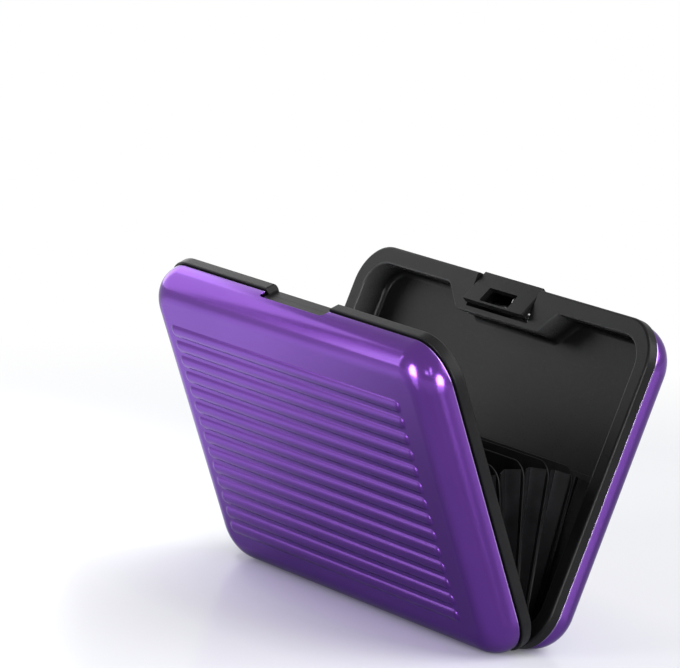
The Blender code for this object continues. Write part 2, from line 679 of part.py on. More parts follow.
class FrontHalf(Half):
    """The ribbed half, with the catch."""

    def __init__(self, bench, finishes, axis_empty):
        super().__init__("front", bench, finishes, axis_empty)

    def build(self):
        skin = self.skin()
        self.join(skin, self.ribs())
        self.cut(skin, self.hem_strip("front_skin_notch", 0, -SPAN, EDGE_CENTRE.y))
        self.tape()
        corners = self.cavity_corners(LAND_TOP_WIDTH, LAND_FOOT_WIDTH, LAND_DROP)
        frame = self.frame(corners)
        inside = PARTING_CLEARANCE + CLEARANCE
        self.join(frame, self.hem_strip("front_notch_pad", CLEARANCE, inside, CASE_HEIGHT - RIM_BAND))
        self.cut(frame, self.thumb_notch())
        self.catch_pocket(frame)
        self.knuckles(frame, (1,), (0, 2))
        plate = self.catch_plate()
        self.screws(frame, plate)

    def ribs(self):
        """Low round-topped bars side by side: the cap of a stretched ball each, with a root in the skin."""
        # The front half's x runs to the left, so its far end has the left margin
        middle = (RIB_RIGHT_MARGIN - RIB_LEFT_MARGIN) / 2
        stretch = (CASE_LENGTH - RIB_LEFT_MARGIN - RIB_RIGHT_MARGIN - RIB_WIDTH) / 2
        work = bmesh.new()
        for row in range(RIB_COUNT):
            height = TOP_RIB_HEIGHT - row * RIB_PITCH
            turn = Matrix.Rotation(math.pi / 2, 4, "Y")
            made = bmesh.ops.create_uvsphere(
                work,
                u_segments=RIB_SIDES,
                v_segments=RIB_RINGS,
                radius=RIB_RADIUS,
                matrix=turn,
            )
            for vert in made["verts"]:
                vert.co.x += middle + math.copysign(stretch, vert.co.x)
                vert.co.y += HALF_DEPTH + RIB_HEIGHT - RIB_RADIUS
                vert.co.z += height
        cut = bmesh.ops.bisect_plane(
            work,
            geom=[*work.verts, *work.edges, *work.faces],
            plane_co=(0, HALF_DEPTH, 0),
            plane_no=(0, 1, 0),
            clear_inner=True,
        )
        rims = [piece for piece in cut["geom_cut"] if isinstance(piece, bmesh.types.BMEdge)]
        bases = bmesh.ops.holes_fill(work, edges=rims)["faces"]
        roots = bmesh.ops.extrude_face_region(work, geom=bases)["geom"]
        bmesh.ops.delete(work, geom=bases, context="FACES_ONLY")
        roots = [piece for piece in roots if isinstance(piece, bmesh.types.BMVert)]
        bmesh.ops.translate(work, vec=(0, -RIB_ROOT, 0), verts=roots)
        bmesh.ops.recalc_face_normals(work, faces=work.faces)
        mesh = bpy.data.meshes.new("ribs")
        work.to_mesh(mesh)
        work.free()
        return mesh_object("ribs", mesh)

    def hem_strip(self, name, inset, near, low):
        """The strip that the skin's hem leaves free at the thumb notch, upwards from a height."""
        half = NOTCH_WIDTH / 2 - inset
        far = THUMB_HEM_DEPTH - inset
        outline = box_outline(-half, half, near, far, THUMB_CORNER_RADIUS - inset)
        return slab(name, outline, low, CASE_HEIGHT + SPAN, PLAN_PLANE)

    def thumb_notch(self):
        """The dip in the rim's top edge, with a short slope at each end."""
        top = NOTCH_WIDTH / 2
        foot = top - THUMB_SLOPE
        low = CASE_HEIGHT - THUMB_DEPTH
        high = CASE_HEIGHT + SPAN
        outline = [(-foot, low), (foot, low), (top, CASE_HEIGHT)]
        outline += [(top, high), (-top, high), (-top, CASE_HEIGHT)]
        return slab("front_rim_notch", outline, -SPAN, HALF_DEPTH)

    def catch_pocket(self, frame):
        """Recess for the catch plate, and a lower step in the bar above it for the tongue."""
        half = CATCH_POCKET_WIDTH / 2
        bar_top = CASE_HEIGHT - THUMB_DEPTH
        bar_foot = bar_top - THUMB_BAR
        foot = CASE_HEIGHT - CATCH_POCKET_DROP
        outline = box_outline(-half, half, foot, bar_foot)
        self.cut(frame, slab("catch_pocket", outline, -SPAN, CATCH_BACK + CLEARANCE))
        outline = box_outline(-half, half, bar_foot - CLEARANCE, CASE_HEIGHT + SPAN)
        self.cut(frame, slab("tongue_room", outline, -SPAN, THUMB_BAR_RECESS))

    def catch_plate(self):
        """Plate on the land with a hook of two bars. The lower bar ends in a small barb."""
        half = CATCH_POCKET_WIDTH / 2 - CLEARANCE
        top = CASE_HEIGHT - THUMB_DEPTH - THUMB_BAR - CLEARANCE
        foot = CASE_HEIGHT - CATCH_POCKET_DROP + CLEARANCE
        plate = slab(
            "catch_plate", box_outline(-half, half, foot, top), CATCH_FACE_DEPTH, CATCH_BACK
        )
        root = CATCH_FACE_DEPTH + CATCH_WALL / 2
        upper = HOOK_TOP
        lower = upper - HOOK_BAR - HOOK_BAR_SPACE
        barb = lower - HOOK_BAR - BARB_DROP
        bars = {
            "upper": [
                Vector((-HOOK_REACH, upper - HOOK_BAR)),
                Vector((root, upper - HOOK_BAR)),
                Vector((root, upper)),
                Vector((-HOOK_REACH, upper)),
            ],
            "lower": [
                Vector((-HOOK_REACH, lower - HOOK_BAR / 2)),
                Vector((-HOOK_REACH + BARB_LENGTH / 2, barb)),
                Vector((-HOOK_REACH + BARB_LENGTH, barb)),
                Vector((-HOOK_REACH + BARB_LENGTH, lower - HOOK_BAR)),
                Vector((root, lower - HOOK_BAR)),
                Vector((root, lower)),
                Vector((-HOOK_REACH, lower)),
            ],
        }
        for word, profile in bars.items():
            self.join(
                plate,
                slab("hook_bar_" + word, profile, -HOOK_WIDTH / 2, HOOK_WIDTH / 2, PROFILE_PLANE),
            )
        return self.part(plate, "frame_plastic")

    def screws(self, frame, plate):
        height = CASE_HEIGHT - SCREW_DROP
        for word, x in (("left", SCREW_SPREAD / 2), ("right", -SCREW_SPREAD / 2)):
            face = Vector((x, CATCH_FACE_DEPTH, height))
            neck = face + Vector((0, SCREW_HEAD_HEIGHT, 0))
            tip = face + Vector((0, SCREW_LENGTH, 0))
            screw = rod("catch_screw_" + word, SCREW_HEAD_RADIUS, face, neck, "Y")
            shank = rod("screw_shank_" + word, SCREW_SHANK_RADIUS, face + (neck - face) / 2, tip, "Y")
            self.join(screw, shank)
            self.part(screw, "steel")
            mouth = face - Vector((0, CLEARANCE, 0))
            seat = neck + Vector((0, CLEARANCE, 0))
            bore_end = tip + Vector((0, CLEARANCE, 0))
            head_room = SCREW_HEAD_RADIUS + CLEARANCE
            shank_room = SCREW_SHANK_RADIUS + PIN_CLEARANCE
            self.cut(plate, rod("screw_seat_" + word, head_room, mouth, seat, "Y"))
            self.cut(plate, rod("screw_hole_" + word, shank_room, mouth, bore_end, "Y"))
            self.cut(frame, rod("screw_bore_" + word, shank_room, mouth, bore_end, "Y"))


def report_gap(name, points, radius, turn_points):
    """Prints the least gap between turns of a coil, measured on its points."""
    gaps = [
        (a - b).length - 2 * radius
        for i, a in enumerate(points)
        for b in points[i + turn_points // 2 :]
    ]
    print(f"{name}: least gap between turns {min(gaps) * 1000:.2f} mm")


class Pockets:
    """Seven sheets that fan out from the hinge, and the folded pleats that close their sides."""

    def __init__(self, bench, finishes, axis_empty):
        self.bench = bench
        self.finishes = finishes
        self.axis_empty = axis_empty

    def lean(self, index):
        return LEAN - OPENING * index / POCKET_COUNT

    def depth(self, index):
        return SHEET_OUTER - SHEET_PITCH * index

    def build(self):
        for index in range(POCKET_COUNT + 1):
            self.sheet(index)
        for index in range(POCKET_COUNT):
            self.gussets(index)

    def sheet(self, index):
        """One sheet, with a foot that reaches across to the next sheet and closes the pocket."""
        names = {0: "rear_panel", FRONT_PANEL: "front_panel"}
        name = names.get(index, f"divider_{index}")
        half = SHEET_LENGTH / 2
        corner = SHEET_CORNER_RADIUS
        outline = filleted(
            [
                (-half, SHEET_FOOT, 0),
                (half, SHEET_FOOT, 0),
                (half, SHEET_RISE, corner),
                (-half, SHEET_RISE, corner),
            ]
        )
        empty = new_empty(name + "_axis", self.bench.parts, self.axis_empty, (0, 0, 0), (0, 0, 0))
        empty.rotation_euler = (-self.lean(index), 0, 0)
        near = self.depth(index) - SHEET_THICKNESS / 2
        sheet = slab(name, outline, near, near + SHEET_THICKNESS)
        if index < FRONT_PANEL:
            reach = SHEET_PITCH - SHEET_THICKNESS - CLEARANCE
            top = SHEET_FOOT + SHEET_THICKNESS
            foot = slab(
                name + "_foot",
                box_outline(-half, half, SHEET_FOOT, top),
                near - reach,
                near + SHEET_THICKNESS / 2,
            )
            self.bench.helper(foot, empty, (0, 0, 0))
            boolean(sheet, foot, "UNION")
        self.bench.part(sheet, self.finishes["pocket_plastic"], empty, (0, 0, 0))

    def on_sheet(self, index, depth, rise, x):
        """A point beside a sheet, seen from the hinge axis."""
        lean = self.lean(index)
        y = rise * math.sin(lean) + depth * math.cos(lean)
        z = rise * math.cos(lean) - depth * math.sin(lean)
        return Vector((x, y, z))

    def gussets(self, index):
        """The pleat of one pocket on each side: two leaves that meet in an inward fold."""
        step = SHEET_THICKNESS / 2 + CLEARANCE + GUSSET_THICKNESS / 2
        low = SHEET_FOOT + SHEET_THICKNESS + 2 * CLEARANCE
        high = SHEET_RISE - GUSSET_TOP_DROP
        edge = SHEET_LENGTH / 2 - GUSSET_END_INSET
        for word, side in (("left", -1), ("right", 1)):
            work = bmesh.new()
            rows = []
            for rise in (low, high):
                first = self.on_sheet(index, self.depth(index) - step, rise, side * edge)
                last = self.on_sheet(index + 1, self.depth(index + 1) + step, rise, side * edge)
                fold = (first + last) / 2
                fold.x = side * (edge - GUSSET_DEPTH)
                rows.append([work.verts.new(p) for p in (first, fold, last)])
            for column in range(2):
                work.faces.new(
                    (
                        rows[0][column],
                        rows[0][column + 1],
                        rows[1][column + 1],
                        rows[1][column],
                    )
                )
            name = f"gusset_{word}_{index + 1}"
            mesh = bpy.data.meshes.new(name)
            work.to_mesh(mesh)
            work.free()
            gusset = mesh_object(name, mesh)
            wall = gusset.modifiers.new("wall", "SOLIDIFY")
            wall.thickness = GUSSET_THICKNESS
            wall.offset = 0
            self.bench.part(gusset, self.finishes["pocket_plastic"], self.axis_empty, (0, 0, 0))


def main():
    clear_scene()
    bench = Bench()
    finishes = {
        "anodised": new_material("purple_anodised_aluminium", (0.16, 0.045, 0.36), 0.85, 0.28),
        "frame_plastic": new_material("black_moulded_plastic", (0.022, 0.022, 0.024), 0.0, 0.42),
        "pocket_plastic": new_material("black_sheet_plastic", (0.012, 0.012, 0.013), 0.0, 0.35),
        "steel": new_material("bright_steel", (0.62, 0.62, 0.64), 1.0, 0.25),
        "tape": new_material("foam_tape", (0.7, 0.7, 0.68), 0.0, 0.8),
    }
    axis_empty = new_empty("case_hinge_axis", bench.parts, None, (0, 0, lowest_point()), (0, 0, 0))
    RearHalf(bench, finishes, axis_empty).build()
    FrontHalf(bench, finishes, axis_empty).build()
    Pockets(bench, finishes, axis_empty).build()


main()
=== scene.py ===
"""Looks of the aluminium card holder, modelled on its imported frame.

Each half is modelled closed and upright: x runs along the hinge, y outwards from the parting plane and
z up from the bottom edge. It is then leaned about the hinge, as the frame has it. Lengths are in metres.
"""

import json
import logging
import math
from collections.abc import Callable, Iterable, Iterator, Sequence
from contextlib import contextmanager
from dataclasses import dataclass, field
from enum import Enum
from functools import cached_property

import bpy
from mathutils import Matrix, Vector


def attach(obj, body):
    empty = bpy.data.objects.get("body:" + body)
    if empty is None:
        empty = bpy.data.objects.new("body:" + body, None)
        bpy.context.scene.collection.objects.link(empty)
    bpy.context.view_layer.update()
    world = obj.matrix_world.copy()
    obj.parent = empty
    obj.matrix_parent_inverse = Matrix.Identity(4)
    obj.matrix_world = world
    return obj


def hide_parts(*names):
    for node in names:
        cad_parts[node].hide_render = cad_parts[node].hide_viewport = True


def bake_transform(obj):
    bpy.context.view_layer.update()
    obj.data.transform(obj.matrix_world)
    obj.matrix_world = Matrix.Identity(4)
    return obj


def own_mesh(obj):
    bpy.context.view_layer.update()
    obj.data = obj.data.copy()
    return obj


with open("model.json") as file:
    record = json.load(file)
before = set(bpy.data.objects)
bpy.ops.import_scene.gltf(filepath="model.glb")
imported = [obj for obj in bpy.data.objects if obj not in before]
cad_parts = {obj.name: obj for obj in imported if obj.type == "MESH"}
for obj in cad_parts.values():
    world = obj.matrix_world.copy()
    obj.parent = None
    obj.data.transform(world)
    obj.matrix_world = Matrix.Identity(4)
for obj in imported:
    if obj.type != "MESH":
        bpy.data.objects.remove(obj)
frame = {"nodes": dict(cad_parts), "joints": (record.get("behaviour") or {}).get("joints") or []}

log = logging.getLogger("card_holder")

Piece = bpy.types.Object
Socket = bpy.types.NodeSocket
Pair = tuple[float, float]
Triple = tuple[float, float, float]
Test = Callable[[Vector, Vector], bool]

# How near two places are to count as one, on straight edges and on rounded ones
CLOSE = 1e-6
ARC_CLOSE = 3e-5
# How far a solid stays off the face that it would otherwise only touch
SKIM = 0.00001
# How far a tool reaches past what it cuts
FAR_CUT = 0.02
ROD_SIDES = 32
# Least cosine between an edge and a direction for the edge to run along it
ALONG = 0.9


class Side(Enum):
    """The two halves of the case."""

    REAR = "rear"
    FRONT = "front"


class Slot(Enum):
    """The record's material slots."""

    METAL = "anodised_aluminium"
    PLASTIC = "moulded_plastic"
    FILM = "pocket_sheet"
    STEEL = "steel"
    TAPE = "mounting_tape"


class Drawing(Enum):
    """How a flat drawing lies in a half: its two axes, and the axis of its thickness."""

    OUTLINE = "xzy"
    PROFILE = "yzx"
    PLAN = "xyz"

    def spot(self, u: float, v: float, level: float) -> Vector:
        """Gives the place of a drawn point at a level of the thickness."""
        numbers = dict(zip(self.value, (u, v, level)))
        return Vector((numbers["x"], numbers["y"], numbers["z"]))


class Joining(Enum):
    """What a tool does to the piece that it meets."""

    CUT = "DIFFERENCE"
    ADD = "UNION"
    KEEP_COMMON = "INTERSECT"


class BoxShape(Enum):
    """The outline of a soft box."""

    RECTANGLE = "RECTANGLE"
    ELLIPSE = "ELLIPSE"


@dataclass(frozen=True)
class CaseSizes:
    """Outer sizes of one half, and what both halves share."""

    length: float = 0.110
    height: float = 0.075
    depth: float = 0.00997
    corner_radius: float = 0.010
    lean: float = math.radians(21.7)
    hinge_height: float = 0.0025
    gap: float = 0.0003
    parting_gap: float = 0.00015


@dataclass(frozen=True)
class SkinSizes:
    """A pressed aluminium skin."""

    inset: float = 0.00055
    wall: float = 0.0008
    back: float = 0.0031
    edge_radius: float = 0.0065
    corner_steps: int = 18
    edge_steps: int = 14
    cut_edge: float = 0.00012
    cut_edge_share: float = 0.8


@dataclass(frozen=True)
class RibSizes:
    """The pressed ribs of the front skin."""

    count: int = 14
    pitch: float = 0.00385
    left_margin: float = 0.008
    right_margin: float = 0.012
    crest_radius: float = 0.00257
    foot_radius: float = 0.0005
    flank: float = math.radians(33)
    crest_strip: float = 0.00006
    sunk: float = 0.0004
    top_row: float = 0.0612
    crest_rings: int = 9
    foot_rings: int = 4
    end_steps: int = 16

    @property
    def half_width(self) -> float:
        """Reach of a rib to each side, from the middle of its crest to where its foot meets the face."""
        return (self.crest_radius + self.foot_radius) * math.sin(self.flank)

    @property
    def climb(self) -> list[Pair]:
        """Lists the steps that lead from a rib's foot over its flank to its crest.

        Returns:
            The steps, each inwards and upwards.
        """
        points = [(0.0, 0.0)]
        for step in range(1, self.foot_rings + 1):
            angle = self.flank * step / self.foot_rings
            points.append((self.foot_radius * math.sin(angle), self.foot_radius * (1 - math.cos(angle))))
        foot_in, foot_up = points[-1]
        for step in range(1, self.crest_rings + 1):
            angle = self.flank * (1 - step / self.crest_rings)
            inwards = foot_in + self.crest_radius * (math.sin(self.flank) - math.sin(angle))
            upwards = foot_up + self.crest_radius * (math.cos(angle) - math.cos(self.flank))
            points.append((min(inwards, self.half_width - self.crest_strip), upwards))
        return [(b[0] - a[0], b[1] - a[1]) for a, b in zip(points, points[1:])]


@dataclass(frozen=True)
class TraySizes:
    """A moulded tray with its rim."""

    rim_back: float = 0.0028
    rim_overlap: float = 0.0008
    band: float = 0.004
    body_inset: float = 0.0016
    body_back: float = 0.0081
    body_edge_radius: float = 0.0046
    body_edge_steps: int = 8
    floor: float = 0.0071
    cavity_corner: float = 0.0065
    foot_radius: float = 0.0012
    foot_steps: int = 5
    mouth_radius: float = 0.00045
    mouth_steps: int = 4
    outer_edge: float = 0.0006
    back_edge: float = 0.0003


@dataclass(frozen=True)
class LandSizes:
    """The land that interrupts a tray's cavity at the middle of its top edge."""

    top_width: float
    foot_width: float
    drop: float


@dataclass(frozen=True)
class HingeSizes:
    """Knuckles and pins of the case hinge."""

    end_margin: float = 0.017
    knuckle_radius: float = 0.0022
    knuckle_length: float = 0.0048
    knuckle_count: int = 3
    knuckle_edge_steps: int = 2
    end_room: float = 0.00045
    turned_edge: float = 0.0002
    pin_radius: float = 0.00075
    bore: float = 0.001

    def group(self, gap: float) -> float:
        """Gives the length of a group of knuckles with a gap between two."""
        return self.knuckle_count * (self.knuckle_length + gap) - gap


@dataclass(frozen=True)
class LatchSizes:
    """The spring lever and the housing that it turns in."""

    notch_width: float = 0.025
    notch_depth: float = 0.009
    notch_corner: float = 0.0025
    width: float = 0.0224
    wall: float = 0.0014
    proud: float = 0.00019
    button_drop: float = 0.0061
    pin: Vector = field(default_factory=lambda: Vector((0.0066, 0.0696)))
    pin_radius: float = 0.00075
    bore: float = 0.001
    pin_grip: float = 0.0022
    tongue_top: Vector = field(default_factory=lambda: Vector((0.0016, 0.0756)))
    tongue_length: float = 0.0081
    tongue_tilt: float = math.radians(25.6)
    cheek: float = 0.0015
    cheek_margin: float = 0.0014
    window_width: float = 0.0105
    window_top: float = 0.0037
    window_length: float = 0.0039
    window_edge: float = 0.0003
    pocket_drop: float = 0.008
    pad_depth: float = 0.0021
    pad_edge: float = 0.0002
    edge: float = 0.00028


@dataclass(frozen=True)
class SpringSizes:
    """The torsion spring on the lever's pin."""

    wire: float = 0.0002
    wire_sides: int = 10
    ring_reach: float = 1.3
    coil: float = 0.00128
    turns: int = 5
    turn_steps: int = 24
    pitch: float = 0.00095
    pressed: float = 0.965


@dataclass(frozen=True)
class CatchSizes:
    """The thumb notch, the catch plate and its screws."""

    notch_depth: float = 0.0014
    notch_slope: float = 0.0009
    notch_brink: float = 0.0006
    hem_depth: float = 0.0051
    notch_corner: float = 0.0015
    pad_drop: float = 0.00002
    pad_edge: float = 0.0003
    bar: float = 0.0012
    bar_recess: float = 0.0008
    pocket_width: float = 0.0236
    pocket_drop: float = 0.0115
    wall: float = 0.001
    face: float = 0.0023
    face_edge: float = 0.0002
    face_edge_steps: int = 2
    hook_width: float = 0.006
    hook_bar: float = 0.0005
    hook_space: float = 0.0005
    hook_reach: float = 0.001
    hook_drop: float = 0.00414
    hook_edge: float = 0.0001
    hook_edge_angle: float = 30
    barb_drop: float = 0.0002
    barb_length: float = 0.0009
    screw_spread: float = 0.0186
    screw_drop: float = 0.008
    head_radius: float = 0.001
    head_height: float = 0.0005
    dome: float = 0.00035
    dome_steps: int = 5
    shank_radius: float = 0.00055
    screw_length: float = 0.0036
    slot: Triple = (0.00058, 0.00011, 0.00028)


@dataclass(frozen=True)
class PocketSizes:
    """The fan of sheets that makes the card pockets."""

    count: int = 6
    thickness: float = 0.0004
    length: float = 0.092
    outer: float = 0.0066
    foot: float = 0.0029
    rise: float = 0.0375
    corner: float = 0.004
    edge: float = 0.00012
    pleat_thickness: float = 0.0003
    pleat_depth: float = 0.0024
    pleat_inset: float = 0.0004
    pleat_drop: float = 0.0015
    pleat_grid: tuple[int, int] = (12, 10)
    pleat_smooth: float = 60
    fold_softness: float = 0.006

    @property
    def pitch(self) -> float:
        """Distance between two sheets at the hinge."""
        return 2 * self.outer / self.count


def rounded(corners: Sequence[Triple], step: float = math.radians(6)) -> list[Vector]:
    """Lists the points of a closed outline whose corners have their own radii.

    Args:
        corners: Corners as (u, v, radius), in order round the outline.
        step: Angle between two points of an arc.

    Returns:
        The outline's points, in the same order.
    """
    points: list[Vector] = []
    for index, (u, v, radius) in enumerate(corners):
        corner = Vector((u, v))
        if radius <= 0:
            points.append(corner)
            continue
        before = (Vector(corners[index - 1][:2]) - corner).normalized()
        after = (Vector(corners[(index + 1) % len(corners)][:2]) - corner).normalized()
        half_angle = before.angle(after) / 2
        centre = corner + (before + after).normalized() * (radius / math.sin(half_angle))
        arm = corner + before * (radius / math.tan(half_angle)) - centre
        turn = math.pi - 2 * half_angle
        sign = 1 if before.x * after.y - before.y * after.x < 0 else -1
        steps = max(2, round(turn / step))
        for count in range(steps + 1):
            cos, sin = math.cos(turn * count / steps), sign * math.sin(turn * count / steps)
            points.append(centre + Vector((arm.x * cos - arm.y * sin, arm.x * sin + arm.y * cos)))
    return points


def arc(centre: Vector, radius: float, first: float, last: float, steps: int = 18) -> list[Vector]:
    """Lists the points of an arc from its first to its last angle, both ends included."""
    angles = [first + (last - first) * count / steps for count in range(steps + 1)]
    return [centre + radius * Vector((math.cos(angle), math.sin(angle))) for angle in angles]


def rectangle(left: float, right: float, low: float, high: float, radius: float) -> list[Vector]:
    """Lists the points of a rectangle with four equal corner radii."""
    return rounded([(left, low, radius), (right, low, radius), (right, high, radius), (left, high, radius)])


def mirrored(right: list[Triple]) -> list[Triple]:
    """Adds the left half to the corners of an outline's right half."""
    return right + [(-u, v, radius) for u, v, radius in reversed(right)]


def along_depth(first: Vector, last: Vector) -> bool:
    """Tells whether an edge runs along y."""
    return abs(first.x - last.x) < CLOSE and abs(first.z - last.z) < CLOSE


def at_depth(depth: float) -> Test:
    """Makes a test for edges that lie at one depth."""
    return lambda first, last: abs(first.y - depth) < CLOSE and abs(last.y - depth) < CLOSE


def at_x(*places: float) -> Test:
    """Makes a test for edges that lie at one of some places along x."""
    return lambda a, b: abs(a.x - b.x) < CLOSE and min(abs(a.x - place) for place in places) < CLOSE


class Bench:
    """Models one piece at a time with the tools of object mode and edit mode."""

    def pick(self, obj: Piece) -> None:
        """Makes a piece the only selected object, and the active one.

        Args:
            obj: The piece.
        """
        bpy.ops.object.select_all(action="DESELECT")
        obj.select_set(True)
        bpy.context.view_layer.objects.active = obj

    def named(self, name: str) -> Piece:
        """Names the primitive that was just added, and moves its place and size into its mesh.

        Args:
            name: Its new name.

        Returns:
            The primitive.
        """
        obj = bpy.context.active_object
        obj.name = name
        self.settle(obj)
        return obj

    def settle(self, obj: Piece) -> None:
        """Moves a piece's place, turn and size into its mesh."""
        self.pick(obj)
        bpy.ops.object.transform_apply(location=True, rotation=True, scale=True)

    def place(self, obj: Piece, matrix: Matrix) -> None:
        """Moves a piece to its place in the open case, in its mesh."""
        obj.matrix_world = matrix
        self.settle(obj)

    def block(self, name: str, x: Pair, y: Pair, z: Pair) -> Piece:
        """Adds a block.

        Args:
            name: Name of the new object.
            x: Where it starts and ends along x.
            y: The same along y.
            z: The same along z.

        Returns:
            The block.
        """
        low, high = Vector((x[0], y[0], z[0])), Vector((x[1], y[1], z[1]))
        bpy.ops.mesh.primitive_cube_add(size=1, location=(low + high) / 2, scale=high - low)
        return self.named(name)

    def plate(
        self,
        name: str,
        points: Sequence[Vector | Pair],
        low: float,
        high: float,
        drawing: Drawing = Drawing.OUTLINE,
    ) -> Piece:
        """Adds a plate from a flat drawing: a disc bent to the drawing, then extruded.

        Args:
            name: Name of the new object.
            points: Points of the drawing.
            low: Where its thickness starts.
            high: Where its thickness ends.
            drawing: How the drawing lies.

        Returns:
            The plate.
        """
        bpy.ops.mesh.primitive_circle_add(vertices=len(points), fill_type="NGON")
        plate = self.named(name)
        for vertex, (u, v) in zip(plate.data.vertices, points):
            vertex.co = drawing.spot(u, v, low)
        with self.editing(plate):
            bpy.ops.mesh.extrude_region_move(TRANSFORM_OT_translate={"value": drawing.spot(0, 0, high - low)})
        self.turn_out(plate)
        return plate

    def rod(
        self,
        name: str,
        radius: float,
        centre: Sequence[float],
        low: float,
        high: float,
        drawing: Drawing = Drawing.PROFILE,
    ) -> Piece:
        """Adds a round rod along x or y.

        Args:
            name: Name of the new object.
            radius: Radius of the rod.
            centre: Where its axis crosses the drawing.
            low: Where it starts.
            high: Where it ends.
            drawing: How the drawing of its round end lies.

        Returns:
            The rod.
        """
        start, end = drawing.spot(*centre, low), drawing.spot(*centre, high)
        turn = (0, math.pi / 2, 0) if drawing is Drawing.PROFILE else (math.pi / 2, 0, 0)
        length, middle = (end - start).length, (start + end) / 2
        bpy.ops.mesh.primitive_cylinder_add(
            vertices=ROD_SIDES, radius=radius, depth=length, location=middle, rotation=turn
        )
        return self.named(name)

    @contextmanager
    def editing(self, obj: Piece, test: Test | None = None, faces: bool = False) -> Iterator[None]:
        """Opens edit mode with what passes a test selected, and closes it at the end.

        Args:
            obj: Piece to edit.
            test: Takes an edge's two ends, or a face's centre and normal. Without it, all is selected.
            faces: Whether it tests faces.

        Yields:
            Nothing, while edit mode is open.
        """
        self.pick(obj)
        bpy.ops.object.mode_set(mode="EDIT")
        if test is None:
            bpy.ops.mesh.select_all(action="SELECT")
        else:
            bpy.ops.mesh.select_mode(type="FACE" if faces else "EDGE")
            bpy.ops.mesh.select_all(action="DESELECT")
            bpy.ops.object.mode_set(mode="OBJECT")
            places = [vertex.co.copy() for vertex in obj.data.vertices]
            for face in obj.data.polygons if faces else ():
                face.select = test(face.center, face.normal)
            for edge in () if faces else obj.data.edges:
                edge.select = test(places[edge.vertices[0]], places[edge.vertices[1]])
            bpy.ops.object.mode_set(mode="EDIT")
        yield
        bpy.ops.object.mode_set(mode="OBJECT")

    def turn_out(self, obj: Piece) -> None:
        """Turns every face of a piece outwards."""
        with self.editing(obj):
            bpy.ops.mesh.normals_make_consistent(inside=False)

    def bevel(self, obj: Piece, test: Test, width: float, steps: int = 3) -> Piece:
        """Rounds the edges that pass the test.

        Args:
            obj: Piece to round.
            test: Picks the edges.
            width: Radius of the rounding.
            steps: Number of faces across it.

        Returns:
            The same piece.
        """
        with self.editing(obj, test):
            bpy.ops.mesh.bevel(
                offset=width, segments=steps, profile=0.5, affect="EDGES", clamp_overlap=False
            )
        return obj

    def modify(self, obj: Piece, kind: str, **settings: object) -> Piece:
        """Adds a modifier to a piece, and applies it.

        Args:
            obj: Piece to change.
            kind: Type of the modifier.
            settings: Its settings.

        Returns:
            The changed piece.
        """
        modifier = obj.modifiers.new(kind.lower(), kind)
        for key, value in settings.items():
            setattr(modifier, key, value)
        self.pick(obj)
        bpy.ops.object.modifier_apply(modifier=modifier.name)
        return obj

    def combine(self, obj: Piece, joining: Joining, tool: Piece) -> Piece:
        """Puts a tool to a piece, and removes the tool.

        Args:
            obj: Piece to change.
            joining: What the tool does.
            tool: Other solid.

        Returns:
            The changed piece.
        """
        self.modify(obj, "BOOLEAN", operation=joining.value, solver="EXACT", object=tool)
        bpy.data.objects.remove(tool, do_unlink=True)
        return obj

    def cut(self, obj: Piece, tool: Piece) -> Piece:
        """Cuts a tool from a piece."""
        return self.combine(obj, Joining.CUT, tool)

    def add(self, obj: Piece, tool: Piece) -> Piece:
        """Adds a tool to a piece."""
        return self.combine(obj, Joining.ADD, tool)

    def soften(self, obj: Piece, width: float, degrees: float = 50) -> Piece:
        """Takes the sharpness off every edge steeper than an angle.

        Args:
            obj: Piece to soften.
            width: Width of the softening.
            degrees: Least angle between two faces that is softened.

        Returns:
            The same piece.
        """
        return self.modify(
            obj,
            "BEVEL",
            width=width,
            segments=2,
            limit_method="ANGLE",
            angle_limit=math.radians(degrees),
            use_clamp_overlap=False,
            miter_outer="MITER_ARC",
        )

    def join(self, parts: Iterable[Piece]) -> Piece:
        """Joins parts into the first of them.

        Args:
            parts: Objects to join.

        Returns:
            The first object, which now holds all of them.
        """
        first, *others = parts
        self.pick(first)
        for part in others:
            part.select_set(True)
        bpy.ops.object.join()
        return first

    def copy(self, obj: Piece, name: str, shift: Sequence[float]) -> Piece:
        """Copies a piece with a mesh of its own, and shifts the copy.

        Args:
            obj: Piece to copy.
            name: Name of the copy.
            shift: How far the copy moves.

        Returns:
            The copy.
        """
        self.pick(obj)
        bpy.ops.object.duplicate(linked=False)
        bpy.context.active_object.location = shift
        return self.named(name)

    def mark(self, obj: Piece, name: str, share: Callable[[Vector], float]) -> Piece:
        """Marks each point of a piece with a share, which its finish reads.

        Args:
            obj: Piece to mark.
            name: Name of the mark.
            share: Gives the share of a point, from 0 to 1.

        Returns:
            The same piece.
        """
        marks = obj.data.attributes.new(name, "FLOAT", "POINT")
        for vertex, mark in zip(obj.data.vertices, marks.data):
            mark.value = share(vertex.co)
        return obj

    def shade(self, obj: Piece, degrees: float) -> None:
        """Shades a piece smooth across its shallow edges, with its flat faces kept flat.

        Args:
            obj: Piece to shade.
            degrees: Steepest edge that is shaded smooth.
        """
        self.pick(obj)
        bpy.ops.object.shade_smooth_by_angle(angle=math.radians(degrees))
        self.modify(obj, "WEIGHTED_NORMAL", keep_sharp=True)


@dataclass(frozen=True)
class Grain:
    """A fine pattern: cells in a metre, octaves, stretch and turn about x, and the relief that it presses."""

    scale: float
    detail: float
    stretch: Triple = (1, 1, 1)
    turn: float = 0
    relief: float = 0
    strength: float = 0


